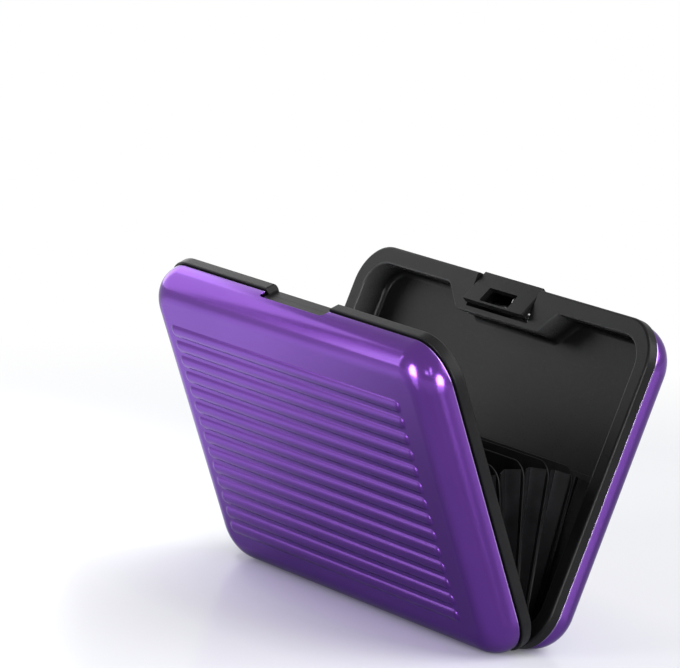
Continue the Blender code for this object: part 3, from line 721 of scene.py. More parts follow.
class Wiring:
    """Adds and links the shader nodes of a material or of the world."""

    def __init__(self, owner: bpy.types.Material | bpy.types.World, shader: str = "Principled BSDF") -> None:
        """Starts from the nodes that a new material or world has.

        Args:
            owner: What the nodes belong to.
            shader: Name of its shader node.
        """
        owner.use_nodes = True
        self.owner = owner
        self.tree = owner.node_tree
        self.shader = self.tree.nodes[shader]
        self.noises: dict[Grain, Socket] = {}

    def feed(self, target: Socket, value: object) -> None:
        """Links a socket to another one, or sets its own value.

        Args:
            target: Socket to feed.
            value: A socket, a number or a row of numbers.
        """
        if isinstance(value, Socket):
            self.tree.links.new(value, target)
        else:
            target.default_value = value

    def node(
        self, kind: str, feeds: dict[str | int, object], out: str | int = 0, **settings: object
    ) -> Socket:
        """Adds a node.

        Args:
            kind: Type of the node.
            feeds: What its input sockets get, by name or number.
            out: Which output socket is wanted.
            settings: Its settings.

        Returns:
            The wanted output socket.
        """
        node = self.tree.nodes.new(kind)
        for key, value in settings.items():
            setattr(node, key, value)
        for key, value in feeds.items():
            self.feed(node.inputs[key], value)
        return node.outputs[out]

    @cached_property
    def spot(self) -> Socket:
        """Place of a point on the piece."""
        return self.node("ShaderNodeTexCoord", {}, "Object")

    def ray(self, kind: str) -> Socket:
        """Tells rays of one kind from others."""
        return self.node("ShaderNodeLightPath", {}, kind)

    def math(self, operation: str, *values: float | Socket, clamp: bool = False) -> Socket:
        """Works out a number."""
        return self.node("ShaderNodeMath", dict(enumerate(values)), operation=operation, use_clamp=clamp)

    def length(self, vector: Socket) -> Socket:
        """Gives a vector's length."""
        return self.node("ShaderNodeVectorMath", {0: vector}, "Value", operation="LENGTH")

    def noise(self, grain: Grain) -> Socket:
        """Adds the noise of a grain, which follows the piece's own place, where it isn't there yet.

        Args:
            grain: Its pattern.

        Returns:
            The noise's value.
        """
        if grain not in self.noises:
            feeds = {"Vector": self.spot, "Scale": grain.stretch, "Rotation": (grain.turn, 0, 0)}
            place = self.node("ShaderNodeMapping", feeds)
            feeds = {"Vector": place, "Scale": grain.scale, "Detail": grain.detail}
            self.noises[grain] = self.node("ShaderNodeTexNoise", feeds)
        return self.noises[grain]

    def span(self, source: Socket, low: float, high: float, first: float = 0.3, last: float = 0.7) -> Socket:
        """Maps a value from first to last onto low to high."""
        ends = {"From Min": first, "From Max": last, "To Min": low, "To Max": high}
        return self.node("ShaderNodeMapRange", {"Value": source, **ends})

    def mix(self, share: Socket, first: Triple | Socket, last: Triple | Socket) -> Socket:
        """Mixes two colours, where the share tells how much of the last one shows."""
        ends = [value if isinstance(value, Socket) else (*value, 1) for value in (first, last)]
        return self.node("ShaderNodeMix", {0: share, 6: ends[0], 7: ends[1]}, 2, data_type="RGBA")

    def set(self, **values: object) -> None:
        """Feeds the shader's sockets, named in lower case with underscores."""
        for key, value in values.items():
            self.feed(self.shader.inputs[key.replace("_", " ").title().replace("Ior", "IOR")], value)

    def press(self, grain: Grain) -> None:
        """Adds a grain's relief to the relief that the surface has.

        Args:
            grain: The grain.
        """
        feeds = {"Height": self.noise(grain), "Distance": grain.relief, "Strength": grain.strength}
        for link in self.shader.inputs["Normal"].links:
            feeds["Normal"] = link.from_socket
        self.set(normal=self.node("ShaderNodeBump", feeds))


@dataclass(frozen=True)
class Finish:
    """What all finishes share: two clouded colours, a gloss that follows a grain, and pressed grains."""

    name: str
    colours: tuple[Triple, Triple]
    roughness: Pair
    cloud: Grain
    gloss: Grain
    pressed: tuple[Grain, ...]
    mark: str = ""
    marked_colour: Triple = (0, 0, 0)
    marked_gloss: float = 0
    metallic: float = 0
    specular: float = 0.5

    def build(self) -> bpy.types.Material:
        """Builds the material with its nodes.

        Returns:
            The material.
        """
        wiring = Wiring(bpy.data.materials.new(self.name))
        colour = wiring.mix(wiring.span(wiring.noise(self.cloud), 0, 1), *self.colours)
        rough = wiring.span(wiring.noise(self.gloss), *self.roughness)
        if self.mark:
            marked = wiring.node("ShaderNodeAttribute", {}, "Fac", attribute_name=self.mark)
            colour = wiring.mix(marked, colour, self.marked_colour)
            if self.marked_gloss:
                rough = wiring.math("MULTIPLY_ADD", marked, -self.marked_gloss, rough)
        wiring.set(
            base_color=colour, roughness=rough, metallic=self.metallic, specular_ior_level=self.specular
        )
        for grain in self.pressed:
            wiring.press(grain)
        self.seal(wiring)
        return wiring.owner

    def seal(self, wiring: Wiring) -> None:
        """Adds nothing, as most finishes have no clear layer."""


@dataclass(frozen=True)
class AnodisedSheet(Finish):
    """Glossy dyed aluminium sheet: rolling lines, fine etch, a brighter cut edge and a clear layer."""

    name: str = "purple_anodised_sheet"
    colours: tuple[Triple, Triple] = ((0.152, 0.041, 0.345), (0.175, 0.050, 0.380))
    roughness: Pair = (0.145, 0.215)
    cloud: Grain = Grain(35, 3)
    gloss: Grain = Grain(1, 2, (90, 5200, 5200), CaseSizes.lean, 0.000003, 0.2)
    pressed: tuple[Grain, ...] = (Grain(9000, 1, relief=0.000004, strength=0.25), gloss)
    mark: str = "cut_edge"
    marked_colour: Triple = (0.42, 0.3, 0.6)
    metallic: float = 1.0
    grazing_tint: Triple = (0.66, 0.6, 0.78)
    seal_weight: float = 0.4
    seal_roughness: float = 0.12
    seal_ior: float = 1.5

    def seal(self, wiring: Wiring) -> None:
        """Adds the clear sealed layer and the tint that the sheet takes at a grazing view."""
        wiring.set(coat_weight=self.seal_weight, coat_roughness=self.seal_roughness, coat_ior=self.seal_ior)
        wiring.set(specular_tint=(*self.grazing_tint, 1))


@dataclass(frozen=True)
class MouldedPlastic(Finish):
    """Black moulded plastic with a fine satin texture, and a painted highlight on the smoother marked brink.
    """

    name: str = "black_moulded_plastic"
    colours: tuple[Triple, Triple] = ((0.0055, 0.0055, 0.006), (0.0085, 0.0085, 0.009))
    roughness: Pair = (0.27, 0.39)
    cloud: Grain = Grain(120, 4)
    gloss: Grain = Grain(4200, 2, relief=0.00002, strength=0.35)
    pressed: tuple[Grain, ...] = (gloss,)
    # The marked brink takes a painted highlight in pale grey, and a smoother gloss
    mark: str = "painted_brink_highlight"
    marked_colour: Triple = (0.06, 0.06, 0.061)
    marked_gloss: float = 0.12
    specular: float = 0.14


@dataclass(frozen=True)
class PocketFilm(Finish):
    """Black film of the card pockets, with a slight waviness and a fine texture."""

    name: str = "black_pocket_film"
    colours: tuple[Triple, Triple] = ((0.004, 0.004, 0.0045), (0.008, 0.008, 0.009))
    roughness: Pair = (0.36, 0.5)
    cloud: Grain = Grain(160, 3)
    gloss: Grain = cloud
    pressed: tuple[Grain, ...] = (
        Grain(90, 1, relief=0.0002, strength=0.25),
        Grain(3800, 1, relief=0.00001, strength=0.3),
    )
    specular: float = 0.1


@dataclass(frozen=True)
class DrawnSteel(Finish):
    """Bright steel with drawing lines round or along it."""

    name: str = "bright_drawn_steel"
    colours: tuple[Triple, Triple] = ((0.46, 0.46, 0.48), (0.58, 0.58, 0.60))
    roughness: Pair = (0.20, 0.36)
    cloud: Grain = Grain(1, 3, (300, 9000, 9000), relief=0.00001, strength=0.3)
    gloss: Grain = cloud
    pressed: tuple[Grain, ...] = (cloud,)
    metallic: float = 1.0


@dataclass(frozen=True)
class FoamTape(Finish):
    """Pale foam tape behind a skin, with fine cells."""

    name: str = "pale_foam_tape"
    colours: tuple[Triple, Triple] = ((0.58, 0.58, 0.56), (0.68, 0.68, 0.66))
    roughness: Pair = (0.7, 0.9)
    cloud: Grain = Grain(2500, 2, relief=0.0001, strength=0.5)
    gloss: Grain = cloud
    pressed: tuple[Grain, ...] = (cloud,)


def build_finishes() -> dict[Slot, bpy.types.Material]:
    """Builds the finish of each material slot."""
    finishes = (AnodisedSheet(), MouldedPlastic(), PocketFilm(), DrawnSteel(), FoamTape())
    return {slot: finish.build() for slot, finish in zip(Slot, finishes)}


@dataclass
class Fitter:
    """Finishes pieces: shade, material, body, slot and the node that each stands for."""

    bench: Bench
    finishes: dict[Slot, bpy.types.Material]

    def coat(self, obj: Piece, slot: Slot) -> None:
        """Gives a piece the finish of a slot."""
        obj.data.materials.clear()
        obj.data.materials.append(self.finishes[slot])

    def fit(self, obj: Piece, slot: Slot, body: str | None, node: str, degrees: float = 35) -> None:
        """Dresses a piece that is in its place.

        Args:
            obj: The piece.
            slot: The material slot whose finish it takes.
            body: The body that it rides on, or None where it bends between two.
            node: The node that it stands for.
            degrees: Steepest edge that is shaded smooth.
        """
        self.bench.shade(obj, degrees)
        self.coat(obj, slot)
        if body is not None:
            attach(obj, body)
        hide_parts(node)
        log.info("%s: %d faces, stands for %s", obj.name, len(obj.data.polygons), node)

    def coat_tapes(self) -> None:
        """Gives the two hidden tapes, which keep their shape, their finish."""
        for node in ("rear_skin_tape", "front_skin_tape"):
            self.coat(frame["nodes"][node], Slot.TAPE)
            log.info("%s keeps its shape", node)


@dataclass
class Half:
    """One half of the case: its skin, its tray and its share of the hinge."""

    bench: Bench
    fitter: Fitter
    hinge: Vector
    side: Side
    land: LandSizes
    case: CaseSizes = CaseSizes()
    skin_sizes: SkinSizes = SkinSizes()
    tray_sizes: TraySizes = TraySizes()
    hinge_sizes: HingeSizes = HingeSizes()
    latch: LatchSizes = field(default_factory=LatchSizes)

    @property
    def body(self) -> str:
        """Names the body that the half rides on."""
        return "root" if self.side is Side.REAR else "front_half"

    @property
    def place(self) -> Matrix:
        """Gives the move that leans the upright half about the hinge.

        Returns:
            The move, as a matrix.
        """
        spin = Matrix.Rotation(0 if self.side is Side.REAR else math.pi, 4, "Z")
        lean = Matrix.Rotation(-self.case.lean, 4, "X")
        drop = Matrix.Translation((0, 0, -self.case.hinge_height))
        return Matrix.Translation(self.hinge) @ spin @ lean @ drop

    def fit(self, obj: Piece, slot: Slot, node: str, body: str = "") -> None:
        """Leans a finished piece with the half, and dresses it."""
        self.bench.place(obj, self.place)
        self.fitter.fit(obj, slot, body or self.body, node)

    def skin_form(self, name: str) -> Piece:
        """Models the skin's outer form as a solid.

        Args:
            name: Name of the new object.

        Returns:
            The solid.
        """
        sizes, case, bench = self.skin_sizes, self.case, self.bench
        reach, rise = case.length / 2 - sizes.inset, (sizes.inset, case.height - sizes.inset)
        form = bench.block(name, (-reach, reach), (sizes.back, case.depth), rise)
        bench.bevel(form, along_depth, case.corner_radius - sizes.inset, sizes.corner_steps)
        return bench.bevel(form, at_depth(case.depth), sizes.edge_radius, sizes.edge_steps)

    def skin(self, notch: Piece) -> Piece:
        """Models the pressed skin: an open shell with a wall, and its notch.

        Args:
            notch: The solid to cut from its top edge.

        Returns:
            The skin, upright.
        """
        sizes, bench = self.skin_sizes, self.bench
        skin = self.skin_form(f"pressed_{self.side.value}_skin")
        with bench.editing(skin, lambda centre, normal: abs(centre.y - sizes.back) < CLOSE, faces=True):
            bpy.ops.mesh.delete(type="FACE")
        bench.modify(skin, "SOLIDIFY", thickness=sizes.wall, offset=-1, use_even_offset=True)
        bench.soften(bench.cut(skin, notch), sizes.cut_edge)
        near = sizes.back + sizes.cut_edge + CLOSE
        return bench.mark(skin, "cut_edge", lambda spot: sizes.cut_edge_share if spot.y < near else 0.0)

    def on_outline(self, spot: Vector) -> bool:
        """Tells whether a point lies on the case's outer outline.

        Args:
            spot: The point.

        Returns:
            Whether it does.
        """
        case = self.case
        inner_x = case.length / 2 - case.corner_radius
        inner_z = case.height / 2 - case.corner_radius
        away = Vector((abs(spot.x) - inner_x, abs(spot.z - case.height / 2) - inner_z))
        if away.x > 0 and away.y > 0:
            return abs(away.length - case.corner_radius) < ARC_CLOSE
        return abs(max(away) - case.corner_radius) < CLOSE

    def cavity_outline(self) -> list[Vector]:
        """Lists the cavity's outline, which goes round the land.

        Returns:
            Its points.
        """
        case, sizes, land = self.case, self.tray_sizes, self.land
        side, top = case.length / 2 - sizes.band, case.height - sizes.band
        corner, ease = sizes.cavity_corner, sizes.cavity_corner / 3
        right = [(side, sizes.band, corner), (side, top, corner), (land.top_width / 2, top, ease)]
        right.append((land.foot_width / 2, case.height - land.drop, ease))
        outline = mirrored(right)
        return rounded([outline[-1], *outline[:-1]])

    def tray(self) -> Piece:
        """Models the tray: rim and body in one, hollowed by a cutter that also rounds the mouth.

        Returns:
            The tray, upright, without its hinge.
        """
        case, sizes, bench = self.case, self.tray_sizes, self.bench
        corner_steps, height, face = self.skin_sizes.corner_steps, case.height, case.parting_gap
        reach, inset = case.length / 2, sizes.body_inset
        far = reach + FAR_CUT
        rim = (-2 * case.gap, sizes.rim_back)
        tray = bench.block(f"moulded_{self.side.value}_tray", (-reach, reach), rim, (0, height))
        bench.bevel(tray, along_depth, case.corner_radius, corner_steps)
        depth = (sizes.rim_back - sizes.rim_overlap, sizes.body_back)
        body = bench.block("tray_body", (inset - reach, reach - inset), depth, (inset, height - inset))
        bench.bevel(body, along_depth, case.corner_radius - inset, corner_steps)
        bench.bevel(body, at_depth(sizes.body_back), sizes.body_edge_radius, sizes.body_edge_steps)
        bench.add(tray, body)
        mouth = bench.block("mouth", (-far, far), (-FAR_CUT, face), (-FAR_CUT, height + FAR_CUT))
        cavity = bench.plate("cavity", self.cavity_outline(), -FAR_CUT / 2, sizes.floor)
        bench.bevel(cavity, at_depth(sizes.floor), sizes.foot_radius, sizes.foot_steps)
        bench.add(mouth, cavity)
        level = at_depth(face)
        bench.bevel(
            mouth,
            lambda a, b: level(a, b) and abs(a.x) < reach and 0 < a.z < height,
            sizes.mouth_radius,
            sizes.mouth_steps,
        )
        bench.cut(tray, mouth)
        for place, width in ((face, sizes.outer_edge), (sizes.rim_back, sizes.back_edge)):
            at = at_depth(place)
            bench.bevel(tray, lambda *ends, at=at: at(*ends) and all(map(self.on_outline, ends)), width)
        low = case.hinge_height
        slant = face + (low + FAR_CUT) * math.tan(case.lean)
        relief = [(-FAR_CUT, low), (face, low), (slant, -FAR_CUT), (-FAR_CUT, -FAR_CUT)]
        return bench.cut(tray, bench.plate("bottom_relief", relief, -far, far, Drawing.PROFILE))

    def paint_brink_highlight(self, tray: Piece) -> Piece:
        """Marks the rounded brink of the tray's mouth, where the finish paints a highlight and makes the
        gloss smoother.

        Args:
            tray: The finished tray, upright.

        Returns:
            The tray, with its marks.
        """
        case, sizes = self.case, self.tray_sizes
        half = Vector((case.length / 2 - case.corner_radius, case.height / 2 - case.corner_radius))

        def painted_brink_highlight(spot: Vector) -> float:
            """Tells how much of the painted highlight a point takes.

            Args:
                spot: The point.

            Returns:
                1 on the brink, and 0 elsewhere.
            """
            past = Vector((max(abs(spot.x) - half.x, 0), max(abs(spot.z - case.height / 2) - half.y, 0)))
            inside = past.length < case.corner_radius - 2 * sizes.outer_edge
            return float(inside and CLOSE < spot.y - case.parting_gap < sizes.mouth_radius + CLOSE)

        return self.bench.mark(tray, "painted_brink_highlight", painted_brink_highlight)

    def knuckles(self, tray: Piece, own: Sequence[int], other: Sequence[int]) -> None:
        """Adds this half's knuckles at both hinge groups, and clears room for the other half's.

        Args:
            tray: The tray, upright.
            own: Places of this half's knuckles in a group.
            other: Places of the other half's.
        """
        sizes, case, bench = self.hinge_sizes, self.case, self.bench
        step, group = sizes.knuckle_length + case.gap, sizes.group(case.gap)
        axis = (0, case.hinge_height)
        for middle in (sizes.end_margin - case.length / 2, case.length / 2 - sizes.end_margin):
            first = middle - group / 2
            for place in other:
                start = first + place * step - sizes.end_room
                end = start + sizes.knuckle_length + 2 * sizes.end_room
                bench.cut(tray, bench.rod("room", sizes.knuckle_radius + case.gap, axis, start, end))
            for place in own:
                start = first + place * step
                end = start + sizes.knuckle_length
                knuckle = bench.rod("knuckle", sizes.knuckle_radius, axis, start, end)
                bench.bevel(knuckle, at_x(start, end), sizes.turned_edge, sizes.knuckle_edge_steps)
                bench.add(tray, knuckle)
            bench.cut(tray, bench.rod("bore", sizes.bore, axis, first - case.gap, first + group + case.gap))


@dataclass
class RearHalf(Half):
    """The smooth half, with the spring lever and the hinge pins."""

    side: Side = Side.REAR
    land: LandSizes = LandSizes(top_width=0.041, foot_width=0.030, drop=0.0093)
    spring_sizes: SpringSizes = SpringSizes()

    @property
    def edge_centre(self) -> Vector:
        """Middle of the roundness of the skin's top edge, in y and z."""
        radius = self.skin_sizes.edge_radius
        return Vector((self.case.depth - radius, self.case.height - self.skin_sizes.inset - radius))

    def build(self) -> None:
        """Builds every piece of the rear half."""
        self.fit(self.skin(self.notch("notch", 0)), Slot.METAL, "rear_skin")
        self.fit(self.paint_brink_highlight(self.housing()), Slot.PLASTIC, "rear_frame")
        self.fit(self.lever(), Slot.PLASTIC, "latch_lever", "latch")
        self.pins()
        spring = self.spring()
        self.fit(spring, Slot.STEEL, "latch_spring")
        up = self.place.to_3x3() @ Vector((0, 0, 1))
        pin = self.place @ Vector((0, *self.latch.pin))
        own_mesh(spring)

    def notch(self, name: str, inset: float) -> Piece:
        """Models the solid that the latch takes out of the skin.

        Args:
            name: Name of the new object.
            inset: How far it is drawn in.

        Returns:
            The solid.
        """
        sizes, case = self.latch, self.case
        half, low = sizes.notch_width / 2 - inset, case.height - sizes.notch_depth + inset
        outline = rectangle(-half, half, low, case.height + FAR_CUT, sizes.notch_corner - inset)
        return self.bench.plate(name, outline, 0, case.depth + FAR_CUT)

    def housing(self) -> Piece:
        """Models the rear tray with the latch housing, the fixed pad and the hinge knuckles.

        Returns:
            The tray, upright.
        """
        case, sizes, bench = self.case, self.latch, self.bench
        tray = self.tray()
        pad = self.skin_form("fixed_pad")
        bench.combine(pad, Joining.KEEP_COMMON, self.notch("pad_bounds", case.gap))
        bench.add(tray, bench.soften(pad, sizes.pad_edge))
        half = sizes.notch_width / 2 - case.gap - sizes.notch_corner
        button_foot = case.height - sizes.button_drop
        depth = (self.tray_sizes.floor, case.depth - self.skin_sizes.wall)
        rise = (case.height - sizes.notch_depth + 2 * case.gap, button_foot)
        bench.add(tray, bench.block("pad_root", (-half, half), depth, rise))
        foot, shelf = case.height - sizes.pocket_drop, button_foot - case.gap
        step = case.depth - sizes.pad_depth
        far, high = case.depth + FAR_CUT, case.height + FAR_CUT
        profile = [(-FAR_CUT, foot), (step, foot), (step, shelf), (far, shelf), (far, high), (-FAR_CUT, high)]
        reach = sizes.width / 2 + case.gap
        bench.cut(tray, bench.plate("lever_room", profile, -reach, reach, Drawing.PROFILE))
        grip = reach + sizes.pin_grip + case.gap
        bench.cut(tray, bench.rod("pin_bore", sizes.bore, sizes.pin, -grip, grip))
        self.knuckles(tray, (0, 2), (1,))
        return tray

    def lever(self) -> Piece:
        """Models the lever: button pad, cap over the rim, tilted tongue with its window, and two cheeks.

        Returns:
            The lever, upright.
        """
        case, sizes, bench, centre = self.case, self.latch, self.bench, self.edge_centre
        outer = self.skin_sizes.edge_radius + sizes.proud
        inner = outer - sizes.wall
        rise = case.height - sizes.button_drop - centre.y
        top = sizes.tongue_top
        down = Vector((-math.sin(sizes.tongue_tilt), -math.cos(sizes.tongue_tilt)))
        back = Vector((-down.y, down.x))
        foot = top + down * sizes.tongue_length
        heel = foot + back * sizes.wall
        hook = arc(centre, outer, math.asin(rise / outer), math.pi / 2)
        hook += [top, foot, heel, heel - down * ((heel.y - centre.y - inner) / down.y)]
        hook += arc(centre, inner, math.pi / 2, math.asin(rise / inner))
        half = sizes.width / 2
        lever = bench.plate("latch_lever_moulding", hook, -half, half, Drawing.PROFILE)
        bench.bevel(lever, at_x(-half, half), sizes.edge)
        mid = outer - sizes.wall / 2
        low = sizes.pin.y - sizes.cheek_margin
        cheek = arc(centre, mid, math.asin(rise / mid), math.pi / 2)
        cheek += [
            top + (down + back) * sizes.wall / 2,
            top + down * sizes.tongue_length / 2 + back * sizes.wall / 2,
            Vector((sizes.pin.x - sizes.cheek_margin, low)),
            Vector((sizes.pin.x + sizes.cheek_margin / 2, low)),
            Vector((case.depth - sizes.pad_depth - case.gap, case.height - sizes.button_drop)),
        ]
        for start in (sizes.edge - half, half - sizes.cheek):
            end = start + sizes.cheek - sizes.edge
            bench.add(lever, bench.plate("cheek", cheek, start, end, Drawing.PROFILE))
        high, through = top + down * sizes.window_top, back * sizes.wall * 2
        base = high + down * sizes.window_length
        points = [base - through, base + through, high + through, high - through]
        wide = sizes.window_width / 2
        window = bench.plate("window", points, -wide, wide, Drawing.PROFILE)
        way = Vector((0, back.x, back.y))
        bench.bevel(window, lambda a, b: abs((b - a).normalized().dot(way)) > ALONG, sizes.window_edge)
        bench.cut(lever, window)
        reach = half + case.gap
        return bench.cut(lever, bench.rod("lever_bore", sizes.bore, sizes.pin, -reach, reach))

    def pins(self) -> None:
        """Models the latch pin and the two hinge pins, each with turned ends."""
        case, sizes, hinge, bench = self.case, self.latch, self.hinge_sizes, self.bench
        reach = sizes.width / 2 + case.gap + sizes.pin_grip
        middle, half = case.length / 2 - hinge.end_margin, hinge.group(case.gap) / 2
        axis = (0, case.hinge_height)
        for node, start, end, radius, spot in (
            ("latch_pin", -reach, reach, sizes.pin_radius, sizes.pin),
            ("hinge_pin_left", -middle - half, half - middle, hinge.pin_radius, axis),
            ("hinge_pin_right", middle - half, middle + half, hinge.pin_radius, axis),
        ):
            pin = bench.rod(f"turned_{node}", radius, spot, start, end)
            self.fit(bench.bevel(pin, at_x(start, end), hinge.turned_edge), Slot.STEEL, node)

    def spring(self) -> Piece:
        """Models the torsion spring: a ring of wire swept up the coil, and its two straight legs.

        Returns:
            The spring, upright.
        """
        sizes, bench, pin, centre = self.spring_sizes, self.bench, self.latch.pin, self.edge_centre
        turns = sizes.turns + 0.5
        start = -turns * sizes.pitch / 2
        bpy.ops.mesh.primitive_circle_add(
            vertices=sizes.wire_sides, radius=sizes.wire, location=(start, -sizes.coil, 0)
        )
        spring = bench.named("wound_latch_spring")
        steps = sizes.turn_steps * sizes.turns
        angle, climb = 2 * math.pi * turns, turns * sizes.pitch
        bench.modify(
            spring, "SCREW", axis="X", angle=angle, screw_offset=climb, steps=steps, render_steps=steps
        )
        inner = self.skin_sizes.edge_radius + self.latch.proud - self.latch.wall - self.case.gap
        run = pin.x - sizes.coil - centre.x
        top = centre.y + math.sqrt((inner - sizes.wire) ** 2 - run**2) - pin.y
        foot = self.case.height - self.latch.pocket_drop + self.case.gap - pin.y
        ring = sizes.wire * sizes.ring_reach
        for x, y, shift, end in ((start, -sizes.coil, 0, top), (-start, sizes.coil, -sizes.coil / 2, foot)):
            tip = Vector((x, y, 0))
            with bench.editing(
                spring,
                lambda *ends, tip=tip: all((a - tip).length < ring and abs(a.z) < CLOSE for a in ends),
            ):
                bpy.ops.mesh.extrude_region_move(TRANSFORM_OT_translate={"value": (0, shift, end)})
                bpy.ops.mesh.fill()
        bench.turn_out(spring)
        spring.location = (0, pin.x, pin.y)
        bench.settle(spring)
        return spring


@dataclass
class FrontHalf(Half):
    """The ribbed half, with the thumb notch and the catch."""

    side: Side = Side.FRONT
    land: LandSizes = LandSizes(top_width=0.030, foot_width=0.026, drop=0.013)
    catch: CatchSizes = CatchSizes()
    rib_sizes: RibSizes = RibSizes()

    @property
    def screws(self) -> dict[str, Pair]:
        """Places of the two screws, in x and z."""
        x, height = self.catch.screw_spread / 2, self.case.height - self.catch.screw_drop
        return {"right": (-x, height), "left": (x, height)}

    def build(self) -> None:
        """Builds every piece of the front half."""
        skin = self.skin(self.hem_strip("hem_notch", 0, -FAR_CUT, self.case.height / 2, FAR_CUT))
        self.fit(self.bench.join([skin, *self.ribs()]), Slot.METAL, "front_skin")
        self.fit(self.paint_brink_highlight(self.land_tray()), Slot.PLASTIC, "front_frame")
        self.fit(self.catch_plate(), Slot.PLASTIC, "catch_plate")
        for word in ("left", "right"):
            self.fit(self.screw(word), Slot.STEEL, f"catch_screw_{word}")

    def hem_strip(self, name: str, inset: float, near: float, low: float, rise: float) -> Piece:
        """Models the strip that the skin's hem leaves free at the thumb notch.

        Args:
            name: Name of the new object.
            inset: How far it stays inside the free strip.
            near: Depth at which it starts.
            low: Height at which it starts.
            rise: How far it reaches above the notch's floor.

        Returns:
            The strip as a solid.
        """
        sizes = self.catch
        half = self.latch.notch_width / 2 - inset
        outline = rectangle(-half, half, near, sizes.hem_depth - inset, sizes.notch_corner - inset)
        return self.bench.plate(name, outline, low, self.case.height - sizes.notch_depth + rise, Drawing.PLAN)

    def rim_notch(self) -> Piece:
        """Models the solid that dips the rim's top edge, with a slope at each end and a rounded brink.

        Returns:
            The solid.
        """
        sizes, case = self.catch, self.case
        top, brink, high = self.latch.notch_width / 2, sizes.notch_brink, case.height + SKIM
        out = top + 4 * brink
        right = [(top - sizes.notch_slope, case.height - sizes.notch_depth, brink), (top, high, brink)]
        right += [(out, high, 0), (out, case.height + FAR_CUT, 0)]
        return self.bench.plate("rim_notch", rounded(mirrored(right)), -FAR_CUT, case.depth)

    def ribs(self) -> list[Piece]:
        """Models one pressed rib by insets that climb its flank and its crest, and copies it down the face.

        Returns:
            The ribs, upright and in place.
        """
        sizes, bench = self.rib_sizes, self.bench
        half, radius = self.case.length / 2, sizes.half_width
        # The front half's x runs to the left, so its far end has the left margin
        ends = (half - sizes.left_margin - radius, sizes.right_margin + radius - half)
        outline = []
        for end, turn in zip(ends, (-math.pi / 2, math.pi / 2)):
            outline += arc(Vector((end, 0)), radius, turn, turn + math.pi, sizes.end_steps)
        face = self.case.depth - SKIM
        rib = bench.plate("rib", outline, face - sizes.sunk, face)
        with bench.editing(rib, lambda centre, normal: abs(centre.y - face) < CLOSE, faces=True):
            for inwards, upwards in sizes.climb:
                bpy.ops.mesh.inset(thickness=inwards, depth=upwards)
        heights = [sizes.top_row - row * sizes.pitch for row in range(sizes.count)]
        rows = [bench.copy(rib, f"rib_{row + 1}", (0, 0, height)) for row, height in enumerate(heights)]
        bpy.data.objects.remove(rib, do_unlink=True)
        return rows

    def land_tray(self) -> Piece:
        """Models the front tray with the thumb notch, the catch pocket, the screw bores and the knuckles.

        Returns:
            The tray, upright.
        """
        case, sizes, bench = self.case, self.catch, self.bench
        tray = self.tray()
        bench.cut(tray, self.rim_notch())
        low, near = case.height - self.tray_sizes.band, case.parting_gap + case.gap
        pad = self.hem_strip("notch_pad", case.gap, near, low, -sizes.pad_drop)
        floor = case.height - sizes.notch_depth - sizes.pad_drop
        bench.bevel(pad, lambda first, last: min(first.z, last.z) > floor - CLOSE, sizes.pad_edge)
        bench.add(tray, pad)
        half = sizes.pocket_width / 2
        bar_foot = case.height - sizes.notch_depth - sizes.bar
        depth = (-FAR_CUT, sizes.face + sizes.wall + case.gap)
        pocket = bench.block("pocket", (-half, half), depth, (case.height - sizes.pocket_drop, bar_foot))
        bench.cut(tray, pocket)
        rise = (bar_foot - case.gap, case.height + FAR_CUT)
        bench.cut(tray, bench.block("tongue_room", (-half, half), (-FAR_CUT, sizes.bar_recess), rise))
        start, end = sizes.face - case.gap, sizes.face + sizes.screw_length + case.gap
        for spot in self.screws.values():
            radius = sizes.shank_radius + case.gap
            bench.cut(tray, bench.rod("screw_bore", radius, spot, start, end, Drawing.OUTLINE))
        self.knuckles(tray, (1,), (0, 2))
        return tray

    def catch_plate(self) -> Piece:
        """Models the catch plate with its two-bar hook and the seats of its screws.

        Returns:
            The plate, upright.
        """
        case, sizes, bench = self.case, self.catch, self.bench
        half, face, bar = sizes.pocket_width / 2 - case.gap, sizes.face, sizes.hook_bar
        rise = (
            case.height - sizes.pocket_drop + case.gap,
            case.height - sizes.notch_depth - sizes.bar - case.gap,
        )
        plate = bench.block("hooked_catch_plate", (-half, half), (face, face + sizes.wall), rise)
        bench.bevel(plate, at_depth(face), sizes.face_edge, sizes.face_edge_steps)
        tip, root, barb_back = -sizes.hook_reach, face + sizes.wall / 2, sizes.barb_length - sizes.hook_reach
        upper = case.height - sizes.hook_drop
        lower = upper - bar - sizes.hook_space
        barb = lower - bar - sizes.barb_drop
        top_bar = [(tip, upper - bar), (root, upper - bar), (root, upper), (tip, upper)]
        hooked_bar = [(tip, lower - bar / 2), (tip + sizes.barb_length / 2, barb), (barb_back, barb)]
        hooked_bar += [(barb_back, lower - bar), (root, lower - bar), (root, lower), (tip, lower)]
        for profile in (top_bar, hooked_bar):
            bar_piece = bench.plate(
                "hook_bar", profile, -sizes.hook_width / 2, sizes.hook_width / 2, Drawing.PROFILE
            )
            bench.add(plate, bench.soften(bar_piece, sizes.hook_edge, sizes.hook_edge_angle))
        for spot in self.screws.values():
            for name, radius, end in (
                ("screw_seat", sizes.head_radius + case.gap, face + sizes.head_height + case.gap),
                ("screw_hole", sizes.shank_radius + case.gap / 2, face + 2 * sizes.wall),
            ):
                bench.cut(plate, bench.rod(name, radius, spot, face - case.gap, end, Drawing.OUTLINE))
        return plate

